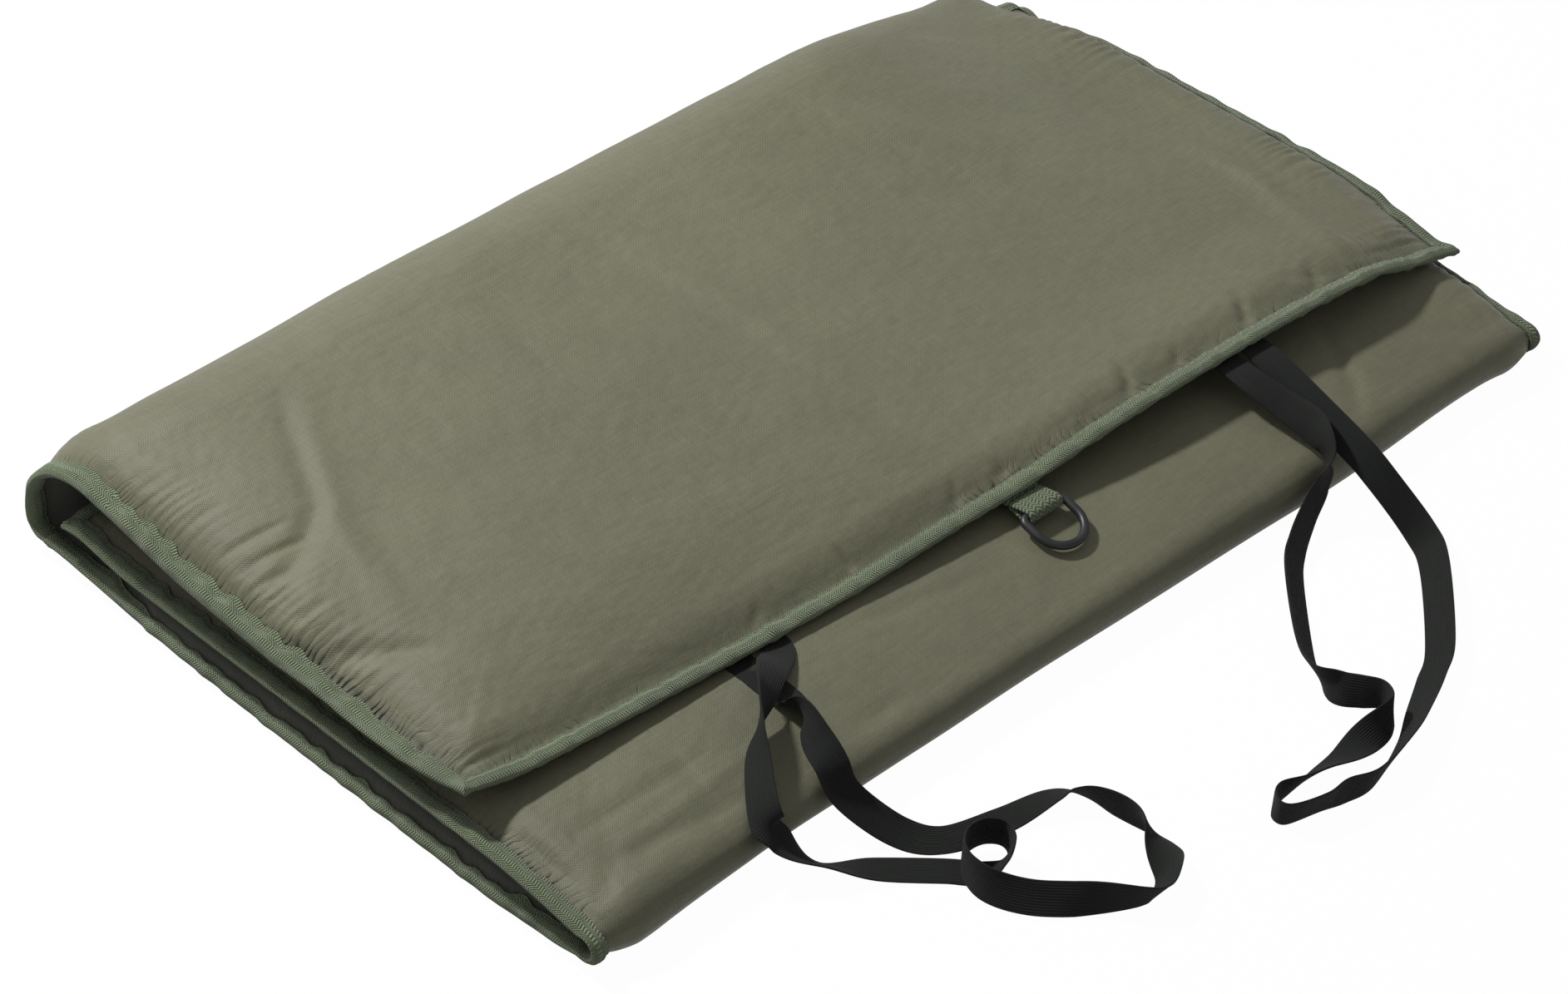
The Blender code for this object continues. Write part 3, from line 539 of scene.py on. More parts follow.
def makeTape(name, colour, period, depth):  # herringbone: slanted ribs that turn back every few millimetres
    s = Shader(name)
    uv, u, v = s.cloth()
    fold = v.maths("PINGPONG", ribTurn)
    ribs = ((u + fold * 0.9) * (2 * math.pi / period)).sine()
    fuzz = s.noise(s.stretch(uv, 2500, 2500), 1.0, 2.0)
    patches = s.noise(s.place(), 30.0, 3.0)
    shade = ribs * 0.42 + (fuzz - 0.5) * 0.9 + (patches - 0.5) * 0.8 + 0.5
    base = s.mix(s.band(shade, 0.0, 1.0), tint(colour, 0.55), tint(colour, 1.42))
    normal = s.bump(ribs * 0.6 + fuzz * 0.9, depth, 0.9)
    return s.finish(Base_Color=base, Roughness=0.85, Normal=normal, Sheen_Weight=0.25, Sheen_Roughness=0.5,
                    Specular_IOR_Level=0.25)


clothTape = makeTape("binding_tape", **bindingLook)
clothWebbing = makeTape("webbing", **webbingLook)

elasticLook = {"colour": (0.0080, 0.0095, 0.0080), "crossPeriod": 0.0007}


def makeElastic():  # fine cross threads, which show between the ribs that run along the band
    s = Shader("elastic")
    colour = elasticLook["colour"]
    uv, u, v = s.cloth()
    cross = (u * (2 * math.pi / elasticLook["crossPeriod"])).sine()
    fuzz = s.noise(s.stretch(uv, 1800, 3000), 1.0, 3.0)
    long = s.noise(s.stretch(uv, 60, 3000), 1.0, 2.0)
    base = s.mix(s.band(fuzz * 0.5 + long * 0.5, 0.3, 0.7), tint(colour, 0.7), tint(colour, 1.6))
    normal = s.bump(cross * 0.3 + fuzz * 0.8, 0.0003, 0.6)
    return s.finish(Base_Color=base, Roughness=0.80, Normal=normal, Sheen_Weight=0.06,
                    Specular_IOR_Level=0.22)


elasticBlack = makeElastic()


def makePlastic():  # moulded plastic with a faint grain
    s = Shader("ring_plastic")
    grain = s.noise(s.place(), 1500.0, 3.0, 0.6)
    wear = s.noise(s.place(), 120.0, 3.0)
    base = s.mix(s.band(wear, 0.3, 0.7), (0.015, 0.016, 0.017, 1), (0.026, 0.027, 0.028, 1))
    return s.finish(Base_Color=base, Roughness=0.36 + wear * 0.12, Normal=s.bump(grain, 0.0001, 0.35),
                    Specular_IOR_Level=0.5)


ringPlastic = makePlastic()


def makeThread():
    s = Shader("thread")
    twist = s.noise(s.place(), 2500.0, 2.0)
    base = s.mix(twist, (0.075, 0.095, 0.055, 1), (0.15, 0.18, 0.11, 1))
    return s.finish(Base_Color=base, Roughness=0.7, Sheen_Weight=0.2)


threadCloth = makeThread()
print("materials made")

# The elastic loops, each a flat ribbed band: route points in metres, then the band's lean in degrees
elastic = {"width": 0.015, "thick": 0.0012, "ribs": 13, "ribHeight": 0.00022, "ribPower": 0.7,
           "thinner": 0.25, "steps": 12, "pathStep": 4}
leftRoute = (
    (-.130, -.103, .0310, 0), (-.130, -.112, .0310, 0), (-.136, -.119, .0330, 4), (-.149, -.128, .0388, 30),
    (-.163, -.139, .0414, 64), (-.175, -.148, .0388, 100), (-.186, -.158, .0338, 130),
    (-.203, -.180, .0275, 150), (-.201, -.188, .0175, 170), (-.191, -.201, .0065, 218),
    (-.173, -.215, .0020, 185), (-.151, -.235, .0009, 180), (-.141, -.246, .0010, 184),
    (-.133, -.250, .0052, 228), (-.126, -.248, .0086, 262), (-.124, -.241, .0096, 270),
    (-.130, -.235, .0100, 270), (-.140, -.235, .0102, 270), (-.149, -.243, .0106, 275),
    (-.151, -.256, .0096, 295), (-.144, -.269, .0072, 310), (-.132, -.282, .0065, 310),
    (-.107, -.304, .0075, 255), (-.098, -.306, .0070, 232), (-.087, -.300, .0070, 222),
    (-.078, -.287, .0065, 160), (-.074, -.274, .0077, 105), (-.075, -.259, .0077, 95),
    (-.079, -.244, .0065, 125), (-.088, -.236, .0046, 155), (-.111, -.230, .0010, 180),
    (-.139, -.223, .0026, 187), (-.152, -.209, .0052, 200), (-.162, -.188, .0175, 204),
    (-.163, -.178, .0300, 200), (-.160, -.166, .0340, 225), (-.155, -.155, .0360, 262),
    (-.151, -.147, .0324, 322), (-.149, -.137, .0306, 354), (-.149, -.103, .0310, 360),
)
rightRoute = (
    (.161, -.115, .0452, 0), (.161, -.125, .0452, 0), (.160, -.136, .0436, -8), (.158, -.156, .0385, -28),
    (.155, -.187, .0320, -30), (.155, -.203, .0250, -30), (.157, -.229, .0065, -32),
    (.145, -.248, .0052, -36), (.106, -.284, .0050, -35), (.087, -.295, .0050, -34),
    (.067, -.305, .0060, -42), (.048, -.314, .0072, -58), (.019, -.322, .0078, -76),
    (.003, -.319, .0079, -88), (-.009, -.317, .0076, -74), (-.026, -.312, .0078, -78),
    (-.027, -.305, .0079, -90), (-.020, -.301, .0079, -95), (-.007, -.302, .0072, -118),
    (.006, -.302, .0062, -135), (.022, -.302, .0040, -160), (.037, -.301, .0045, -200),
    (.049, -.301, .0070, -240), (.057, -.298, .0079, -266), (.060, -.290, .0079, -276),
    (.055, -.282, .0074, -294), (.050, -.274, .0072, -300), (.050, -.262, .0074, -245),
    (.060, -.246, .0066, -232), (.092, -.212, .0068, -230), (.108, -.200, .0076, -238),
    (.126, -.191, .0110, -248), (.137, -.188, .0185, -262), (.142, -.186, .0270, -270),
    (.145, -.180, .0340, -285), (.148, -.168, .0360, -318), (.147, -.154, .0380, -340),
    (.144, -.137, .0430, -354), (.144, -.125, .0445, -360), (.144, -.115, .0445, -360),
)


def smoothThrough(points, steps):  # cubic pieces through the points, with their neighbours' slope at each
    points = np.array(points, float)
    slopes = np.gradient(points, axis=0)
    place = np.linspace(0, len(points) - 1, steps * (len(points) - 1) + 1)
    k = np.minimum(place.astype(int), len(points) - 2)
    t = (place - k)[:, None]
    rise = points[k + 1] - points[k]
    return (points[k] + t * slopes[k] + t * t * (3 * rise - 2 * slopes[k] - slopes[k + 1])
            + t ** 3 * (slopes[k] + slopes[k + 1] - 2 * rise))


def makeLoop(name, route):
    # Rings of a ribbed band: across runs side to side, face stands square to the band
    route = smoothThrough(route, elastic["steps"])
    middle, lean = route[:, :3], np.radians(route[:, 3:])
    along = unit(np.gradient(middle, axis=0))
    side = unit(np.cross(along, (0, 0, 1)))
    across = np.cos(lean) * side + np.sin(lean) * np.cross(side, along)
    face = np.cross(along, across)
    reach = np.abs(across[:, 2]) * elastic["width"] / 2 + np.abs(face[:, 2]) * elastic["thick"] / 2
    middle[:, 2] = np.maximum(middle[:, 2], reach)
    count = elastic["ribs"] * 4
    t = np.linspace(-1, 1, count + 1)
    rib = np.abs(np.cos(t * math.pi / 2 * elastic["ribs"])) ** elastic["ribPower"]
    thinner = elastic["thick"] * elastic["thinner"] * np.abs(t) ** 16  # only close to the band's edges
    half = elastic["thick"] / 2 - elastic["ribHeight"] * (1 - rib) - thinner
    w = t * elastic["width"] / 2
    ring = np.concatenate([np.stack([w, half], -1), np.stack([w[::-1], -half[::-1]], -1)])
    points = middle[:, None] + across[:, None] * ring[None, :, :1] + face[:, None] * ring[None, :, 1:]
    rows, columns = points.shape[:2]
    faces = quads(rows, columns, wrapColumns=True)
    made = addMesh(name, points, faces)
    pointsOut(made, close=True)
    made.data.set_sharp_from_angle(angle=math.radians(60))
    length = travelled(middle)
    uv = np.stack(np.broadcast_arrays(length[:, None], ring[None, :, 0]), -1)
    dress(made, "top_flap", elasticBlack, [name.replace("_band", "")], uv)
    path = middle[::elastic["pathStep"]].tolist() + [middle[-1].tolist()]


# The camera, at the photograph's viewing angle
camera = {"azimuth": math.radians(-46.519), "elevation": math.radians(39.863), "roll": math.radians(3.002),
          "distance": 2.304, "target": (-0.049, -0.0355, 0.020), "lens": 120.36, "sensor": 36.0, "far": 50}


def makeCamera():
    a, e, r = camera["azimuth"], camera["elevation"], camera["roll"]
    back = np.array([math.sin(a) * math.cos(e), -math.cos(a) * math.cos(e), math.sin(e)])
    right = unit(np.cross(-back, (0, 0, 1)))
    up = np.cross(right, -back)
    turned = math.cos(r) * right + math.sin(r) * up
    upright = -math.sin(r) * right + math.cos(r) * up
    lens = bpy.data.cameras.new("camera")
    lens.lens = camera["lens"]
    lens.sensor_width = camera["sensor"]
    lens.sensor_fit = "HORIZONTAL"
    lens.clip_end = camera["far"]
    made = bpy.data.objects.new("camera", lens)
    bpy.context.collection.objects.link(made)
    place = np.array(camera["target"]) + camera["distance"] * back
    rows = np.eye(4)
    rows[:3, 0], rows[:3, 1], rows[:3, 2], rows[:3, 3] = turned, upright, back, place
    made.matrix_world = Matrix(rows.tolist())
    bpy.context.scene.camera = made


makeCamera()
makeLoop("elastic_loop_left_band", leftRoute)
makeLoop("elastic_loop_right_band", rightRoute)
print("loops made")

# Wrinkles: how far the cloth stands out from its smooth padding
wrinkle = {"puckers": 0.0007, "reach": 0.0055, "leastReach": 0.006, "spacing": 0.0052, "swells": 0.0011,
           "ripples": 0.00012, "inner": 0.001, "rise": 0.03, "creaseRise": 0.004, "deepest": 0.6,
           "settledEdge": 0.55, "settledMiddle": 0.45, "settledFade": 0.02, "gather": 0.004}

# Creases, placed from the photo: height (valleys below 0), width, then the places that each one runs
# through, as shares of the half length and of its panel's depth. The top flap's depth runs from the fold (0)
# to the front edge (1), and the inner flap's from its free edge (0) to the front crease (1)
topCreaseShares = (
    (0.0015, 0.0080, ((-0.70, 0.10), (-0.80, 0.35), (-0.85, 0.60))),
    (-0.0021, 0.0060, ((-0.70, 0.05), (-0.80, 0.30), (-0.95, 0.45))),
    (-0.0010, 0.0020, ((-0.95, 0.20), (-0.90, 0.20))),
    (-0.0014, 0.0022, ((-0.95, 0.30), (-0.85, 0.30))),
    (-0.0016, 0.0022, ((-0.95, 0.35), (-0.85, 0.35))),
    (-0.0013, 0.0022, ((-0.95, 0.40), (-0.90, 0.40))),
    (-0.0013, 0.0022, ((-0.95, 0.50), (-0.90, 0.50))),
    (-0.0025, 0.0060, ((-0.95, 0.60), (-0.85, 0.70))),
    (-0.0007, 0.0070, ((-0.10, 0.10), (-0.05, 0.50), (0.00, 1.00))),
    (0.0005, 0.0070, ((-0.05, 0.10), (0.00, 0.60))),
    (-0.0006, 0.0080, ((-0.30, 0.05), (-0.35, 0.30))),
    (-0.0018, 0.0110, ((0.35, 0.10), (0.45, 0.35), (0.50, 0.60))),
    (0.0013, 0.0090, ((0.40, 0.05), (0.55, 0.35))),
    (0.0017, 0.0065, ((0.80, 0.40), (0.85, 0.65), (0.80, 0.95))),
    (0.0011, 0.0050, ((0.85, 0.55), (0.85, 0.85))),
    (-0.0013, 0.0024, ((-0.45, 0.98), (-0.42, 0.93))),
    (-0.0016, 0.0026, ((-0.25, 0.98), (-0.25, 0.92))),
    (-0.0019, 0.0026, ((-0.05, 0.98), (-0.03, 0.92))),
    (-0.0020, 0.0026, ((0.05, 0.98), (0.05, 0.93))),
    (-0.0021, 0.0028, ((0.30, 0.98), (0.33, 0.90))),
    (-0.0016, 0.0024, ((0.40, 0.98), (0.42, 0.93))),
    (-0.0026, 0.0028, ((0.55, 0.98), (0.58, 0.90))),
    (-0.0019, 0.0026, ((0.70, 0.98), (0.73, 0.92))),
)
innerCreaseShares = (
    (-0.0018, 0.0050, ((0.70, 0.85), (0.65, 0.95), (0.60, 1.00))),
    (-0.0009, 0.0040, ((0.55, 0.90), (0.60, 1.00))),
    (-0.0010, 0.0026, ((-0.35, 0.85), (-0.05, 0.90))),
    (-0.0010, 0.0040, ((-0.45, 0.98), (-0.35, 0.98))),
    (-0.0008, 0.0040, ((-0.70, 0.85), (-0.70, 0.95))),
    (-0.0016, 0.0030, ((-0.95, 0.85), (-0.95, 0.95))),
    (0.0010, 0.0040, ((-0.95, 1.00), (-0.75, 1.00))),
    (-0.0013, 0.0028, ((-0.90, 0.90), (-0.65, 0.90))),
    (0.0010, 0.0030, ((-0.85, 0.95), (-0.55, 0.93))),
    (-0.0013, 0.0028, ((-0.90, 0.96), (-0.65, 0.98))),
)


def creaseLines(table, backQ, frontQ):  # the shares as places (x, q) on the cloth
    return [(height, width, [(u * halfLength, backQ + (frontQ - backQ) * share) for u, share in run])
            for height, width, run in table]


creases = creaseLines(topCreaseShares, foldQ, topQ) + creaseLines(innerCreaseShares, 0, flapQ)


creaseForm = {"narrow": 1.6, "start": 0.08, "length": 0.84, "fade": 0.7}


def creased(x, q):
    # Each crease is a bell across its line, 2 to the power -1.6 (distance / width)^2, times a sine along it
    # to the power 0.7, which fades towards both ends
    total = 0 * (x + q)
    for height, width, places in creases:
        places = np.array(places)
        steps = np.linalg.norm(np.diff(places, axis=0), axis=1)
        run = travelled(places)
        nearest, along = np.full(total.shape, 1.0), 0 * total
        for k, (a, b) in enumerate(zip(places, places[1:])):
            t = np.clip(((x - a[0]) * (b - a)[0] + (q - a[1]) * (b - a)[1]) / steps[k] ** 2, 0, 1)
            away = np.hypot(x - a[0] - t * (b - a)[0], q - a[1] - t * (b - a)[1])
            along = np.where(away < nearest, (run[k] + t * steps[k]) / run[-1], along)
            nearest = np.minimum(away, nearest)
        bell = 2 ** (-(nearest / width) ** 2 * creaseForm["narrow"])
        fade = np.sin(math.pi * (creaseForm["start"] + creaseForm["length"] * along)) ** creaseForm["fade"]
        total = total + height * bell * fade
    return total


def wander(at, seed, low, high, count=7):  # a sum of sines whose wavelengths lie between low and high
    random = np.random.default_rng(seed)
    total = 0 * at
    for _ in range(count):
        wavelength = low * (high / low) ** random.random()
        total = total + np.sin(2 * math.pi * (at / wavelength + random.random())) * (0.5 + random.random())
    return total / math.sqrt(count)


def roll(x, y, seed, low, high, count=14):  # the same over a plane, each sine running its own way
    random = np.random.default_rng(seed)
    total = 0 * (x + y)
    for _ in range(count):
        wavelength = low * (high / low) ** random.random()
        way = random.random() * 2 * math.pi
        at = (x * math.cos(way) + y * math.sin(way)) / wavelength
        total = total + np.sin(2 * math.pi * (at + random.random()))
    return total / math.sqrt(count)


def puckers(along, inward, seed):  # pinched folds that run in from the tape and fade
    spacing = wrinkle["spacing"]
    phase = along / spacing + 0.55 * wander(along, seed, 0.03, 0.12)
    pinch = 1 - np.abs(np.sin(math.pi * phase)) ** 0.8 * 2
    strength = 0.45 + 0.55 * np.clip(wander(along, seed + 1, 0.05, 0.2), -0.6, 1.4)
    reach = wrinkle["reach"] * (1 + 0.5 * wander(along, seed + 2, 0.02, 0.06))
    share = np.clip(inward - tape["width"], 0, None) / np.maximum(reach, wrinkle["leastReach"])
    return -pinch * strength * share * np.exp(1 - share) * wrinkle["puckers"]


# The cover's cloth: its grid, how much longer it is cut, how far in from the tape that fades and how firmly
# the middle is held. Then Blender's own settings for it
simulation = {"rows": 236, "columns": 112, "frames": 30, "excess": 0.045, "reach": 0.013, "hold": 0.10,
              "seed": 5, "nudge": 0.0003, "seam": 0.001, "endIn": 0.0014}
clothSettings = {
    "quality": 5, "mass": 0.05, "tension_stiffness": 14, "compression_stiffness": 14, "shear_stiffness": 5,
    "bending_stiffness": 0.05, "air_damping": 2, "vertex_group_shrink": "loose", "shrink_min": 0,
    "shrink_max": -simulation["excess"], "vertex_group_mass": "held", "pin_stiffness": 0.6,
}
# How loose the cover is along each edge: at distances q on the sides, at shares of the half length in front
looseness = {
    "left": ((0, 0.2), (0.25, 0.3), (0.29, 0.6), (flapQ, 0.3), (bottomQ, 0.2), (foldQ, 0.35), (0.80, 0.25),
             (0.84, 0.35), (0.88, 0.30), (0.905, 0.8), (0.95, 0.85), (topQ, 0.6)),
    "right": ((0, 0.2), (flapQ, 0.2), (bottomQ, 0.2), (foldQ, 0.6), (topQ, 0.3)),
    "front": ((-1, 0.35), (-0.55, 0.15), (-0.1, 0.2), (0.0, 0.5), (0.15, 0.4), (0.5, 0.3), (0.75, 0.5),
              (1, 0.3)),
}


def looseAt(x, q):  # beside the side tapes, and beside the end ones
    side = np.where(x < 0, tabled(q, looseness["left"]), tabled(q, looseness["right"]))
    return side, tabled(x / halfLength, looseness["front"])


def freeDistance(x, q):  # from the top flap's front edge, or from the inner flap's free edge
    front = topReach(x) * (1 - np.clip((q - foldQ) / (topQ - foldQ), None, 1))
    return np.where(q > topStart, front, q)


def crowded(low, high, count, places, density):
    # Places from low to high, spaced closer where the density is greater
    fine = np.linspace(low, high, 2000)
    total = np.cumsum(np.interp(fine, places, density))
    return np.interp(np.linspace(total[0], total[-1], count), total, fine)


coverRows = crowded(tape["clothIn"], topQ - simulation["endIn"], simulation["rows"],
                    (0, flapQ, creaseQ + 0.02, bottomQ - 0.03, foldQ - 0.03, topQ),
                    (1, 1.1, 0.3, 0.3, 0.9, 1.15))
coverColumns = crowded(tape["clothIn"] - halfLength, halfLength - tape["clothIn"], simulation["columns"],
                       (-halfLength, -0.27, -0.23, 0.23, 0.27, halfLength), (2.2, 2.0, 1, 1, 2.0, 2.2))


def settle():
    # Cloth cut a little longer than its binding and sewn down along it, so that it buckles beside it.
    # Gives how far each point of the cover stands out from its padding
    xs, q = np.meshgrid(coverColumns, coverRows)
    half = surfaceAt(xs, q, 0)[1]
    start = surfaceAt(xs, q, half)[0]
    outward = unit(surfaceAt(xs, q, half + 0.001)[0] - start)
    side, end = halfLength - np.abs(xs), np.minimum(q, topQ - q)
    held = np.where(np.minimum(side, end) < tape["width"] + simulation["seam"], 1.0, simulation["hold"])
    sideLoose, endLoose = looseAt(xs, q)
    fading = [np.exp(-np.clip(d - tape["width"], 0, None) / simulation["reach"]) for d in (side, end)]
    loose = np.clip(np.maximum(sideLoose * fading[0], endLoose * fading[1]), 0, 1)
    nudge = np.random.default_rng(simulation["seed"]).normal(0, simulation["nudge"], q.shape) * loose
    cover = addMesh("cover", start + outward * nudge[..., None], quads(*q.shape))
    for name, weights in (("held", held), ("loose", loose)):
        group = cover.vertex_groups.new(name=name)
        for index, weight in enumerate(weights.ravel().tolist()):
            group.add([index], weight, "REPLACE")
    cloth = cover.modifiers.new("cloth", "CLOTH")
    for word, value in clothSettings.items():
        setattr(cloth.settings, word, value)
    cloth.settings.effector_weights.gravity = 0
    cloth.collision_settings.use_collision = False
    cloth.point_cache.frame_end = simulation["frames"]
    scene = bpy.context.scene
    for number in range(1, simulation["frames"] + 1):
        scene.frame_set(number)
    found = cover.evaluated_get(bpy.context.evaluated_depsgraph_get()).to_mesh()
    points = np.zeros(len(found.vertices) * 3)
    found.vertices.foreach_get("co", points)
    scene.frame_set(1)
    bpy.data.objects.remove(cover)
    stand = ((points.reshape(start.shape) - start) * outward).sum(-1)
    print("cloth settled", round(float(stand.min()) * 1000, 2), round(float(stand.max()) * 1000, 2))
    return stand


def cubic(a, b, c, d, t):  # a smooth curve from b to c, its slopes set by the values on either side
    return b + 0.5 * t * (c - a + t * (2 * a - 5 * b + 4 * c - d + t * (3 * (b - c) + d - a)))


settled = settle()


def settledAt(x, q):
    if settled is None:
        return 0 * (x + q)
    rows, columns = settled.shape
    row = np.interp(q, coverRows, np.arange(rows))
    column = np.interp(x, coverColumns, np.arange(columns))
    r, c = np.minimum(row.astype(int), rows - 2), np.minimum(column.astype(int), columns - 2)
    found = []
    for shift in (-1, 0, 1, 2):
        chosen = np.clip(c + shift, 0, columns - 1)
        four = [settled[np.clip(r + step, 0, rows - 1), chosen] for step in (-1, 0, 1, 2)]
        found.append(cubic(*four, row - r))
    return cubic(*found, column - c)


def outerWrinkles(x, q):
    # What the simulation moved, puckers beside the tapes, swells and ripples inside them, and the creases
    side, free = halfLength - np.abs(x), freeDistance(x, q)
    edge = np.minimum(side, free)
    settledFade = np.exp(-np.clip(edge - tape["width"], 0, None) / wrinkle["settledFade"])
    total = settledAt(x, q) * (wrinkle["settledMiddle"] + wrinkle["settledEdge"] * settledFade)
    total = total + puckers(q + np.where(x < 0, 0, 3.0), side, 11)
    total = total + puckers(x, free, 23)
    inside = ease((edge - crownStart) / wrinkle["rise"])
    total = total + wrinkle["swells"] * inside * roll(x, q, 31, 0.13, 0.40)
    total = total + wrinkle["ripples"] * inside * roll(x, q, 37, 0.03, 0.09)
    return total + creased(x, q) * ease((edge - crownStart) / wrinkle["creaseRise"])


def innerWrinkles(x, q):  # half as strong as outside, without creases
    return 0.5 * (puckers(q + 5.0, halfLength - np.abs(x), 51) + wrinkle["inner"] * roll(x, q, 53, 0.03, 0.1))


# The padded cloth on one grid over the whole mat, which the pieces share row by row
grid = {"sideCells": 34, "sideWidth": 0.055, "insideCells": 150, "rows": (176, 8, 8, 12, 14, 176)}


def columnPlaces():
    wide = grid["sideWidth"]
    near = np.linspace(tape["clothIn"], wide, grid["sideCells"] + 1)
    middle = np.linspace(wide - halfLength, halfLength - wide, grid["insideCells"] + 1)
    return np.concatenate([near - halfLength, middle[1:-1], (halfLength - near)[::-1]])


def clothGrid():
    x = columnPlaces()
    q, marks = rowsAt(x, tape["clothIn"], grid["rows"])
    xs = np.broadcast_to(x, q.shape)
    half = surfaceAt(xs, q, 0)[1]
    middle = surfaceAt(xs, q, 0)[0]
    surfaces = []
    for way, lift in ((1, outerWrinkles(xs, q)), (-1, innerWrinkles(xs, q))):
        reach = way * (half + np.clip(lift, -wrinkle["deepest"] * (half - seamHalf), None))
        points = surfaceAt(xs, q, reach)[0]
        points[..., 2] = np.maximum(points[..., 2], 0)  # nothing lies under the ground
        normal = np.cross(np.gradient(points, axis=1), np.gradient(points, axis=0))
        outward = surfaceAt(xs, q, way * 0.001)[0] - middle
        normal *= np.sign((normal * outward).sum(-1, keepdims=True))
        surfaces.append((points, unit(normal)))
    return surfaces, np.stack([xs, q], -1), marks


def gathered(x, q):
    # How strongly the cloth is gathered beside the side tapes and the end ones, fading away from the tape
    distances = halfLength - np.abs(x), freeDistance(x, q)
    fades = [np.exp(-np.clip(d - tape["width"], 0, None) / wrinkle["gather"]) for d in distances]
    return [loose * fade for loose, fade in zip(looseAt(x, q), fades)]


def makePadding(name, body, rows, slotNodes, surfaces, uvs):
    # A closed pad: the outer sheet, the inner sheet and a rim between their edges
    low, high = rows
    (outer, outNormal), (inner, inNormal) = [(p[low:high + 1], n[low:high + 1]) for p, n in surfaces]
    r, c = outer.shape[:2]
    cells = quads(r, c)
    number = np.arange(r * c).reshape(r, c)
    border = np.concatenate([number[0], number[1:, -1], number[-1, -2::-1], number[-2:0:-1, 0]])
    following = np.roll(border, -1)
    rim = np.stack([border, following, following + r * c, border + r * c], -1)
    faces = np.concatenate([cells[:, ::-1], cells + r * c, rim])
    made = addMesh(name, np.concatenate([outer.reshape(-1, 3), inner.reshape(-1, 3)]), faces)
    uv = np.concatenate([uvs[low:high + 1].reshape(-1, 2)] * 2)
    for word, values in zip(("gatherSide", "gatherEnd"), gathered(uv[:, 0], uv[:, 1])):
        made.data.attributes.new(word, "FLOAT", "POINT").data.foreach_set("value", values.astype(np.float32))
    made.data.materials.append(clothOut)
    index = np.zeros(len(faces), np.int32)
    index[len(cells):] = 1
    dress(made, body, clothIn, slotNodes, uv)
    made.data.polygons.foreach_set("material_index", index)
    if signedVolume(made) < 0:
        made.data.flip_normals()
    normals = np.concatenate([outNormal.reshape(-1, 3), inNormal.reshape(-1, 3)])
    made.data.normals_split_custom_set_from_vertices(normals.tolist())
    return made


def signedVolume(obj):
    obj.data.calc_loop_triangles()
    count = len(obj.data.loop_triangles)
    corner = np.zeros(count * 3, np.int32)
    obj.data.loop_triangles.foreach_get("vertices", corner)
    points = np.zeros(len(obj.data.vertices) * 3)
    obj.data.vertices.foreach_get("co", points)
    a, b, c = points.reshape(-1, 3)[corner.reshape(-1, 3)].transpose(1, 0, 2)
    return float((a * np.cross(b, c)).sum() / 6)


def bendOver(obj, k):
    # Works out hinge k's direction and ends, which nothing uses, then only bakes the piece's placement into
    # its mesh
    points = np.zeros(len(obj.data.vertices) * 3)
    obj.data.vertices.foreach_get("co", points)
    along = points.reshape(-1, 3)[:, 1:] @ hingeWays[k]
    low, high = bendEnds[k]
    way = np.array([0, *hingeWays[k]])
    foldBodies[k + 1]
    tuple(way * low)
    tuple(way * high)
    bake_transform(obj)


def panelNodes(*names):
    parts = ("foam", "outer_cover", "inner_cover")
    return [f"{name}_{part}" for name in names for part in parts]


surfaces, uvs, marks = clothGrid()
print("cloth worked out", surfaces[0][0].shape)

# Each bend's ends: past every point of one cut, short of every point of the next
bendEnds = []
for k in range(4):
    first, last = marks[k + 1], marks[k + 2]
    both = [p[..., 1:] @ hingeWays[k] for p, n in surfaces]
    bendEnds.append((max(b[first].max() for b in both), min(b[last].min() for b in both)))
print("bends", [tuple(round(v, 4) for v in pair) for pair in bendEnds])

makePadding("base_padding", "base", (marks[0], marks[1]),
            panelNodes("bottom", "front_fold", "inner_flap"), surfaces, uvs)
foldPaddings = ("lower_corner_padding", "fold_lower_padding", "fold_middle_padding", "fold_upper_padding")
for k, name in enumerate(foldPaddings):
    nodes = panelNodes(foldBodies[k + 1]) if k < 3 else []
    bendOver(makePadding(name, None, (marks[k + 1], marks[k + 2]), nodes, surfaces, uvs), k)
makePadding("top_flap_padding", "top_flap", (marks[5], marks[6]), panelNodes("top_flap"), surfaces, uvs)
print("padding made")


# The binding: a tape folded over the edge, its profile as distance in from the edge and offset
def tapeProfile():
    w, t, inside, outside = tape["width"], tape["thick"], tapeInside, tapeOutside
    turn = np.linspace(math.pi / 2, -math.pi / 2, 9)[1:-1]
    flat = np.linspace(w, outside, 9)
    groove = 1 - tape["groove"] * np.exp(-((flat - tape["stitchIn"]) / tape["grooveWidth"]) ** 2)
    domed = outside + tape["dome"] * np.sin(math.pi * (w - flat) / w) ** 0.8
    outerTop = np.stack([flat, domed * groove], -1)
    roundOut = np.stack([outside - outside * np.cos(turn), outside * np.sin(turn)], -1)
    outerLow = outerTop[::-1] * (1, -1)
    flatIn = np.linspace(outside, w, 5)
    roundIn = np.stack([outside - inside * np.cos(turn[::2]), -inside * np.sin(turn[::2])], -1)
    innerLow = np.stack([flatIn[::-1], 0 * flatIn - inside], -1)
    innerTop = np.stack([flatIn, 0 * flatIn + inside], -1)
    return np.concatenate([outerTop, roundOut, outerLow, innerLow, roundIn, innerTop])


profile = tapeProfile()


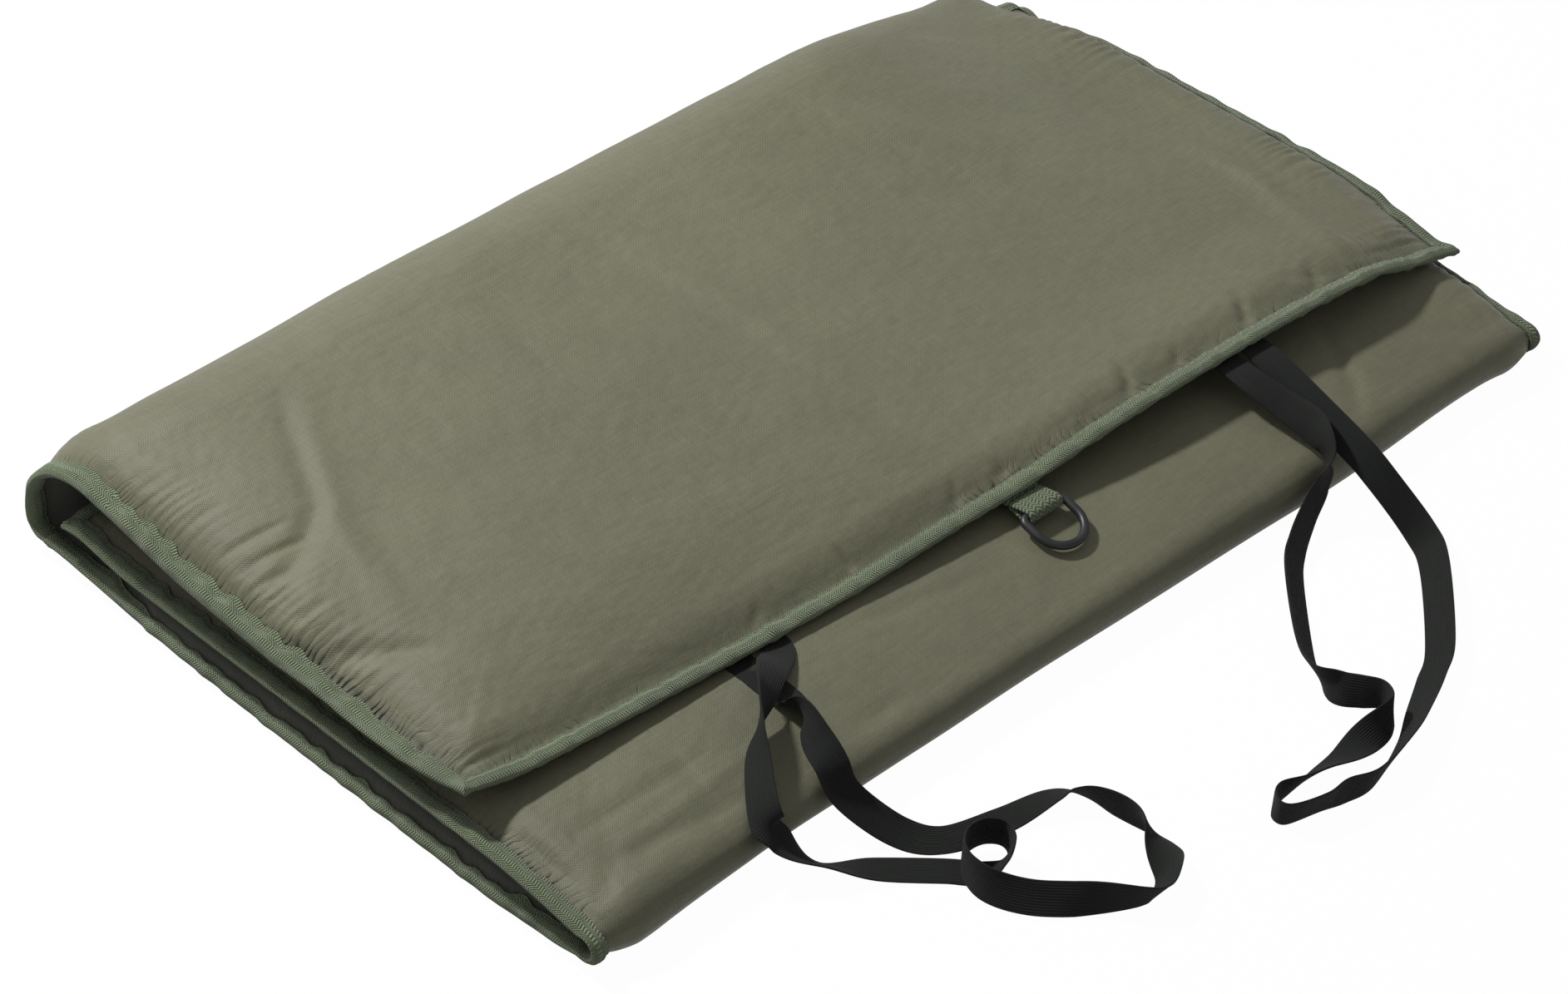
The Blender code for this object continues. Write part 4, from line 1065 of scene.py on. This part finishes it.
def tapePoints(side, rowCounts, profile):
    # Grid of points on a side edge: rows along the cloth, columns round the profile
    inward, offset = profile[:, 0], profile[:, 1]
    x = side * (halfLength - inward)
    q, marks = rowsAt(x, inward, rowCounts)
    xs = np.broadcast_to(x, q.shape)
    offset = offset * (1 + tape["uneven"] * wander(q, 41, 0.008, 0.03))
    xs = xs - side * tape["waver"] * wander(q, 47, 0.010, 0.05) * inward / tape["width"]
    return surfaceAt(xs, q, offset)[0], marks


def edgePoints(top, profile):
    # The same along the top flap's front edge or the inner flap's rear one
    inward, offset = profile[:, 0], profile[:, 1]
    limit = halfLength - inward
    xs = np.linspace(-1, 1, edgeRows + 1)[:, None] * limit[None]
    q = np.broadcast_to(inward, xs.shape)
    if top:
        q = foldQ + (topQ - foldQ) * (1 - inward[None] / topReach(xs))
    offset = offset * (1 + tape["uneven"] * wander(xs, 43, 0.008, 0.03))
    return surfaceAt(xs, q, offset)[0]


def makeTapePiece(name, points, nodes, body, bend=None):
    rows, columns = points.shape[:2]
    made = addMesh(name, points, quads(rows, columns, wrapColumns=True))
    shape = bmesh.new()
    shape.from_mesh(made.data)
    shape.verts.ensure_lookup_table()
    for row, way in ((0, 1), (rows - 1, -1)):
        ring = [shape.verts[row * columns + k] for k in range(columns)]
        shape.faces.new(ring[::way])
    bmesh.ops.recalc_face_normals(shape, faces=shape.faces)
    shape.to_mesh(made.data)
    shape.free()
    length, across = travelled(points.mean(axis=1)), travelled(profile)
    uv = np.stack(np.broadcast_arrays(length[:, None], across[None]), -1)
    dress(made, body, clothTape, nodes, uv)
    made.data.set_sharp_from_angle(angle=math.radians(60))
    if bend is not None:
        bendOver(made, bend)


tapeRows, edgeRows = (420, 8, 8, 12, 14, 150), 300
sides = {word: tapePoints(way, tapeRows, profile) for word, way in (("left", -1), ("right", 1))}
rear, front = edgePoints(False, profile), edgePoints(True, profile)
tapeMarks = sides["left"][1]
foldParts = ("lower_corner", "fold_lower", "fold_middle", "fold_upper")


def tapeNodes(*names):
    return [f"{name}_binding_{word}" for name in names for word in ("left", "right")]


leftPoints, rightPoints = sides["left"][0], sides["right"][0]
firstCut, lastCut = tapeMarks[1], tapeMarks[5]
basePath = np.concatenate([leftPoints[firstCut:0:-1], rear, rightPoints[1:firstCut + 1]])
baseNodes = [*tapeNodes("bottom", "front_fold", "inner_flap"), "inner_flap_binding_rear"]
makeTapePiece("base_binding", basePath, baseNodes, "base")
for k, name in enumerate(foldParts):
    for word, points in (("left", leftPoints), ("right", rightPoints)):
        nodes = [f"{foldBodies[k + 1]}_binding_{word}"] if k < 3 else []
        found = points[tapeMarks[k + 1]:tapeMarks[k + 2] + 1]
        makeTapePiece(f"{name}_binding_{word}_tape", found, nodes, None, k)
topPath = np.concatenate([leftPoints[lastCut:-1], front, rightPoints[-2:lastCut - 1:-1]])
makeTapePiece("top_flap_binding", topPath, [*tapeNodes("top_flap"), "top_flap_binding_front"], "top_flap")
print("binding made")


# Stitches: small threads end to end along the tape, on both its faces
stitch = {"length": 0.0030, "gap": 0.0009, "radius": 0.00024, "lead": 0.12, "bow": 0.9, "sink": 0.4,
          "places": (0.0, 0.12, 0.35, 0.65, 0.88, 1.0), "girths": (0.25, 0.75, 1.0, 1.0, 0.75, 0.25)}


def makeStitches(name, line, normal, body, nodes, bend=None):
    # Each stitch is a short round thread, bowed up in the middle, laid along the line
    at = travelled(line)
    count = max(1, int(at[-1] / (stitch["length"] + stitch["gap"])))
    starts = (np.arange(count) + stitch["lead"]) * at[-1] / count
    t = np.array(stitch["places"])
    where = starts[:, None] + t[None] * stitch["length"]
    centre = np.stack([np.interp(where, at, line[:, k]) for k in range(3)], -1)
    out = np.stack([np.interp(where, at, normal[:, k]) for k in range(3)], -1)
    side = np.cross(unit(np.gradient(centre, axis=1)), out)
    girth = stitch["radius"] * np.array(stitch["girths"])[None, :, None, None]
    lift = stitch["radius"] * (np.sin(math.pi * t) * stitch["bow"] - stitch["sink"])[None, :, None]
    centre = centre + out * lift
    turn = np.arange(6) * math.pi / 3
    ring = (side[:, :, None] * np.cos(turn)[:, None] + out[:, :, None] * np.sin(turn)[:, None]) * girth
    points = centre[:, :, None] + ring
    one = quads(6, 6, wrapColumns=True)
    caps = np.array([[0, 1, 2, 3], [0, 3, 4, 5]])
    cells = np.concatenate([one, caps[:, ::-1], caps + 30])
    faces = (cells[None] + (np.arange(count) * 36)[:, None, None]).reshape(-1, 4)
    made = addMesh(name, points, faces)
    pointsOut(made)
    dress(made, body, threadCloth, nodes)
    if bend is not None:
        bendOver(made, bend)


def stitchLines(sign):
    # The stitch line's points and outward normals, over the tape's outer face or its inner one
    spot = np.array([[tape["stitchIn"], sign * height] for height in (tapeOutside, tapeOutside + 0.001)])
    lines = {}
    for word, way in (("left", -1), ("right", 1)):
        points = tapePoints(way, tapeRows, spot)[0]
        lines[word] = (points[:, 0], points[:, 1] - points[:, 0])
    for word, top in (("rear", False), ("front", True)):
        points = edgePoints(top, spot)
        lines[word] = (points[:, 0], points[:, 1] - points[:, 0])
    return {word: (p, unit(n)) for word, (p, n) in lines.items()}


def joined(parts):
    return [np.concatenate(found) for found in zip(*parts)]


def stretchOf(line, low, high, way=1):  # part of a stitch line, turned round where way is -1
    return [values[low:high][::way] for values in line]


for word, sign in (("outer", 1), ("inner", -1)):
    lines = stitchLines(sign)
    left, right = lines["left"], lines["right"]
    base = joined([stretchOf(left, 1, firstCut + 1, -1), lines["rear"], stretchOf(right, 1, firstCut + 1)])
    makeStitches(f"base_stitches_{word}", *base, "base", ["inner_flap_stitching"] if sign > 0 else [])
    for k, name in enumerate(foldParts):
        for side, line in (("left", left), ("right", right)):
            found = stretchOf(line, tapeMarks[k + 1], tapeMarks[k + 2] + 1)
            makeStitches(f"{name}_stitches_{side}_{word}", *found, None, [], k)
    top = joined([stretchOf(left, lastCut, -1), lines["front"], stretchOf(right, lastCut, -1, -1)])
    makeStitches(f"top_flap_stitches_{word}", *top, "top_flap", ["top_flap_stitching"] if sign > 0 else [])
print("stitches made")

# The webbing tab and the D-ring
tab = {"place": 0.016, "width": 0.020, "reach": 0.0105, "standOff": 0.0005, "endLength": 0.008,
       "webbing": 0.0012, "play": 0.00002, "thinner": 0.35}
ring = {"rod": 0.0040, "side": 0.00075, "depth": 0.0220, "corner": 0.003, "tilt": math.radians(15),
        "oval": 0.02, "sides": 20}


def tabAxis():
    y, z = matAt(tab["place"], topQ)[:2]
    half = tab["webbing"] + mat["clearance"] / 2
    height = float(z) - tapeOutside - mat["clearance"] - half
    return np.array([tab["place"], float(y) - tab["standOff"], height])


def makeRing():
    # A rod along a closed outline: bar, two legs and half a circle
    half = (tab["width"] + 2 * ring["side"] + ring["rod"]) / 2
    corner = ring["corner"]
    turn = np.linspace(math.pi, 1.5 * math.pi, 10)
    left = np.stack([-half + corner + corner * np.cos(turn), corner + corner * np.sin(turn)], -1)
    turn = np.linspace(-math.pi / 2, 0, 10)
    right = np.stack([half - corner + corner * np.cos(turn), corner + corner * np.sin(turn)], -1)
    turn = np.linspace(0, math.pi, 48)
    bow = np.stack([half * np.cos(turn), ring["depth"] - half + half * np.sin(turn)], -1)
    line = np.concatenate([left, np.linspace(left[-1], right[0], 14)[1:-1], right, bow])
    along = unit(np.roll(line, -1, axis=0) - np.roll(line, 1, axis=0))
    turn = np.arange(ring["sides"]) * 2 * math.pi / ring["sides"]
    side, up = ring["rod"] / 2 * np.cos(turn), ring["rod"] / 2 * np.sin(turn)
    up = up * (1 + ring["oval"] * np.cos(turn * 2))
    across, back = line[:, :1] + along[:, 1:] * side, -(line[:, 1:] - along[:, :1] * side)
    points = np.stack(np.broadcast_arrays(across, back, up[None]), -1)
    tilt = ring["tilt"]
    y = points[..., 1] * math.cos(tilt) - points[..., 2] * math.sin(tilt)
    z = points[..., 1] * math.sin(tilt) + points[..., 2] * math.cos(tilt)
    place = tabAxis() - (0, tab["reach"], 0)
    points = np.stack([points[..., 0], y, z], -1) + place
    made = addMesh("d_ring_moulded", points, quads(len(line), ring["sides"], wrapRows=True, wrapColumns=True))
    pointsOut(made)
    dress(made, "d_ring", ringPlastic, ["d_ring"])


def webbingRing(half, less=0):
    # Round a flat section: across it, and its half thickness, which loses 0.35 |t|^12 of itself at the sides
    t = np.linspace(-1, 1, 25)
    across = t * tab["width"] / 2
    thick = half * (1 - tab["thinner"] * np.abs(t) ** 12) - less
    return np.concatenate([across, across[::-1]]), np.concatenate([thick, -thick[::-1]])


def webbingPiece(name, points, line, across, body, nodes):
    rows, columns = points.shape[:2]
    made = addMesh(name, points, quads(rows, columns, wrapColumns=True))
    pointsOut(made, close=True)
    uv = np.stack(np.broadcast_arrays(travelled(line)[:, None], across[None]), -1)
    dress(made, body, clothWebbing, nodes, uv)
    made.data.set_sharp_from_angle(angle=math.radians(50))


def makeTab():
    # A webbing loop round the bar: two layers from the seam, open round the bar
    half = tab["webbing"] + mat["clearance"] / 2
    hole = ring["rod"] / 2 + mat["clearance"]
    far = hole + tab["webbing"]
    lean = math.asin((far - half) / tab["reach"])
    turn = np.linspace(-math.pi / 2 - lean, math.pi / 2 + lean, 33)
    layer = tab["webbing"] / 2
    bend = np.stack([tab["reach"] + np.cos(turn) * (far - layer), np.sin(turn) * (far - layer)], -1)
    near = np.array([[0.0, -half + layer]]), np.array([[0.0, half - layer]])
    first = near[0] + (bend[0] - near[0]) * np.linspace(0, 1, 9)[:-1, None]
    last = bend[-1] + (near[1] - bend[-1]) * np.linspace(0, 1, 9)[1:, None]
    line = np.concatenate([first, bend, last])
    along = unit(np.gradient(line, axis=0))
    normal = np.stack([along[:, 1], -along[:, 0]], -1)
    ringW, ringH = webbingRing(layer, tab["play"])
    flat = line[:, None] + normal[:, None] * ringH[None, :, None]
    points = np.stack(np.broadcast_arrays(ringW[None], -flat[..., 0], flat[..., 1]), -1) + tabAxis()
    webbingPiece("webbing_tab_loop", points, line, ringW, "webbing_tab", ["webbing_tab"])


def makeSewnEnd():  # the tab's two layers as one flat block, following the flap's slope
    place = tabAxis()
    half = tab["webbing"] + mat["clearance"] / 2
    slope = float(topSlope(np.array(tab["place"])))
    start = half + mat["clearance"]
    along = np.linspace(start, start + tab["endLength"], 12)
    line = np.stack([along, (along - start) * math.tan(slope)], -1)
    ringW, ringH = webbingRing(half)
    points = np.stack(np.broadcast_arrays(ringW[None], line[:, :1], line[:, 1:] + ringH[None]), -1) + place
    webbingPiece("webbing_sewn_end", points, line, ringW, "top_flap", ["webbing_tab_sewn_end"])


makeRing()
makeTab()
makeSewnEnd()
print("tab and ring made")

# The floor and the light
light = {"world": 0.36, "lamp": 25.5, "lampSize": 0.13, "lampPlace": (-0.34, 0.90, 1.26)}
ground = {"reach": 6, "drop": 0.0004, "white": 1.04, "shade": 0.30, "share": 0.94}


def makeFloor():
    mesh = bpy.data.meshes.new("floor")
    reach, shade = ground["reach"], ground["shade"]
    places = [(-reach, -reach, 0), (reach, -reach, 0), (reach, reach, 0), (-reach, reach, 0)]
    mesh.from_pydata(places, [], [(0, 1, 2, 3)])
    floor = bpy.data.objects.new("floor", mesh)
    bpy.context.collection.objects.link(floor)
    s = Shader("floor_white")
    camera, glossy, through = [s.node("ShaderNodeLightPath", out=f"Is {word} Ray")
                               for word in ("Camera", "Glossy", "Transmission")]
    seen = (camera + glossy + through).maths("MINIMUM", 1.0)
    white = s.node("ShaderNodeEmission", {}, {"Color": (1, 1, 1, 1), "Strength": ground["white"]})
    plain = s.node("ShaderNodeBsdfDiffuse", {}, {"Color": (shade, shade, shade, 1)})
    mixed = s.node("ShaderNodeMixShader", {}, {0: seen * ground["share"], 1: plain, 2: white})
    mesh.materials.append(s.end(mixed))
    floor.location = (0, 0, -ground["drop"])


def makeLight():
    world = bpy.data.worlds.new("studio")
    bpy.context.scene.world = world
    world.use_nodes = True
    shade = world.node_tree.nodes["Background"]
    shade.inputs["Color"].default_value = (1, 1, 1, 1)
    shade.inputs["Strength"].default_value = light["world"]
    wide = bpy.data.lights.new("lamp", "AREA")
    wide.energy, wide.size = light["lamp"], light["lampSize"]
    lamp = bpy.data.objects.new("lamp", wide)
    lamp.location = light["lampPlace"]
    lamp.rotation_euler = Vector(light["lampPlace"]).to_track_quat("Z", "Y").to_euler()
    bpy.context.collection.objects.link(lamp)


makeFloor()
makeLight()
bpy.context.scene.view_settings.view_transform = "Standard"
print("stage made")
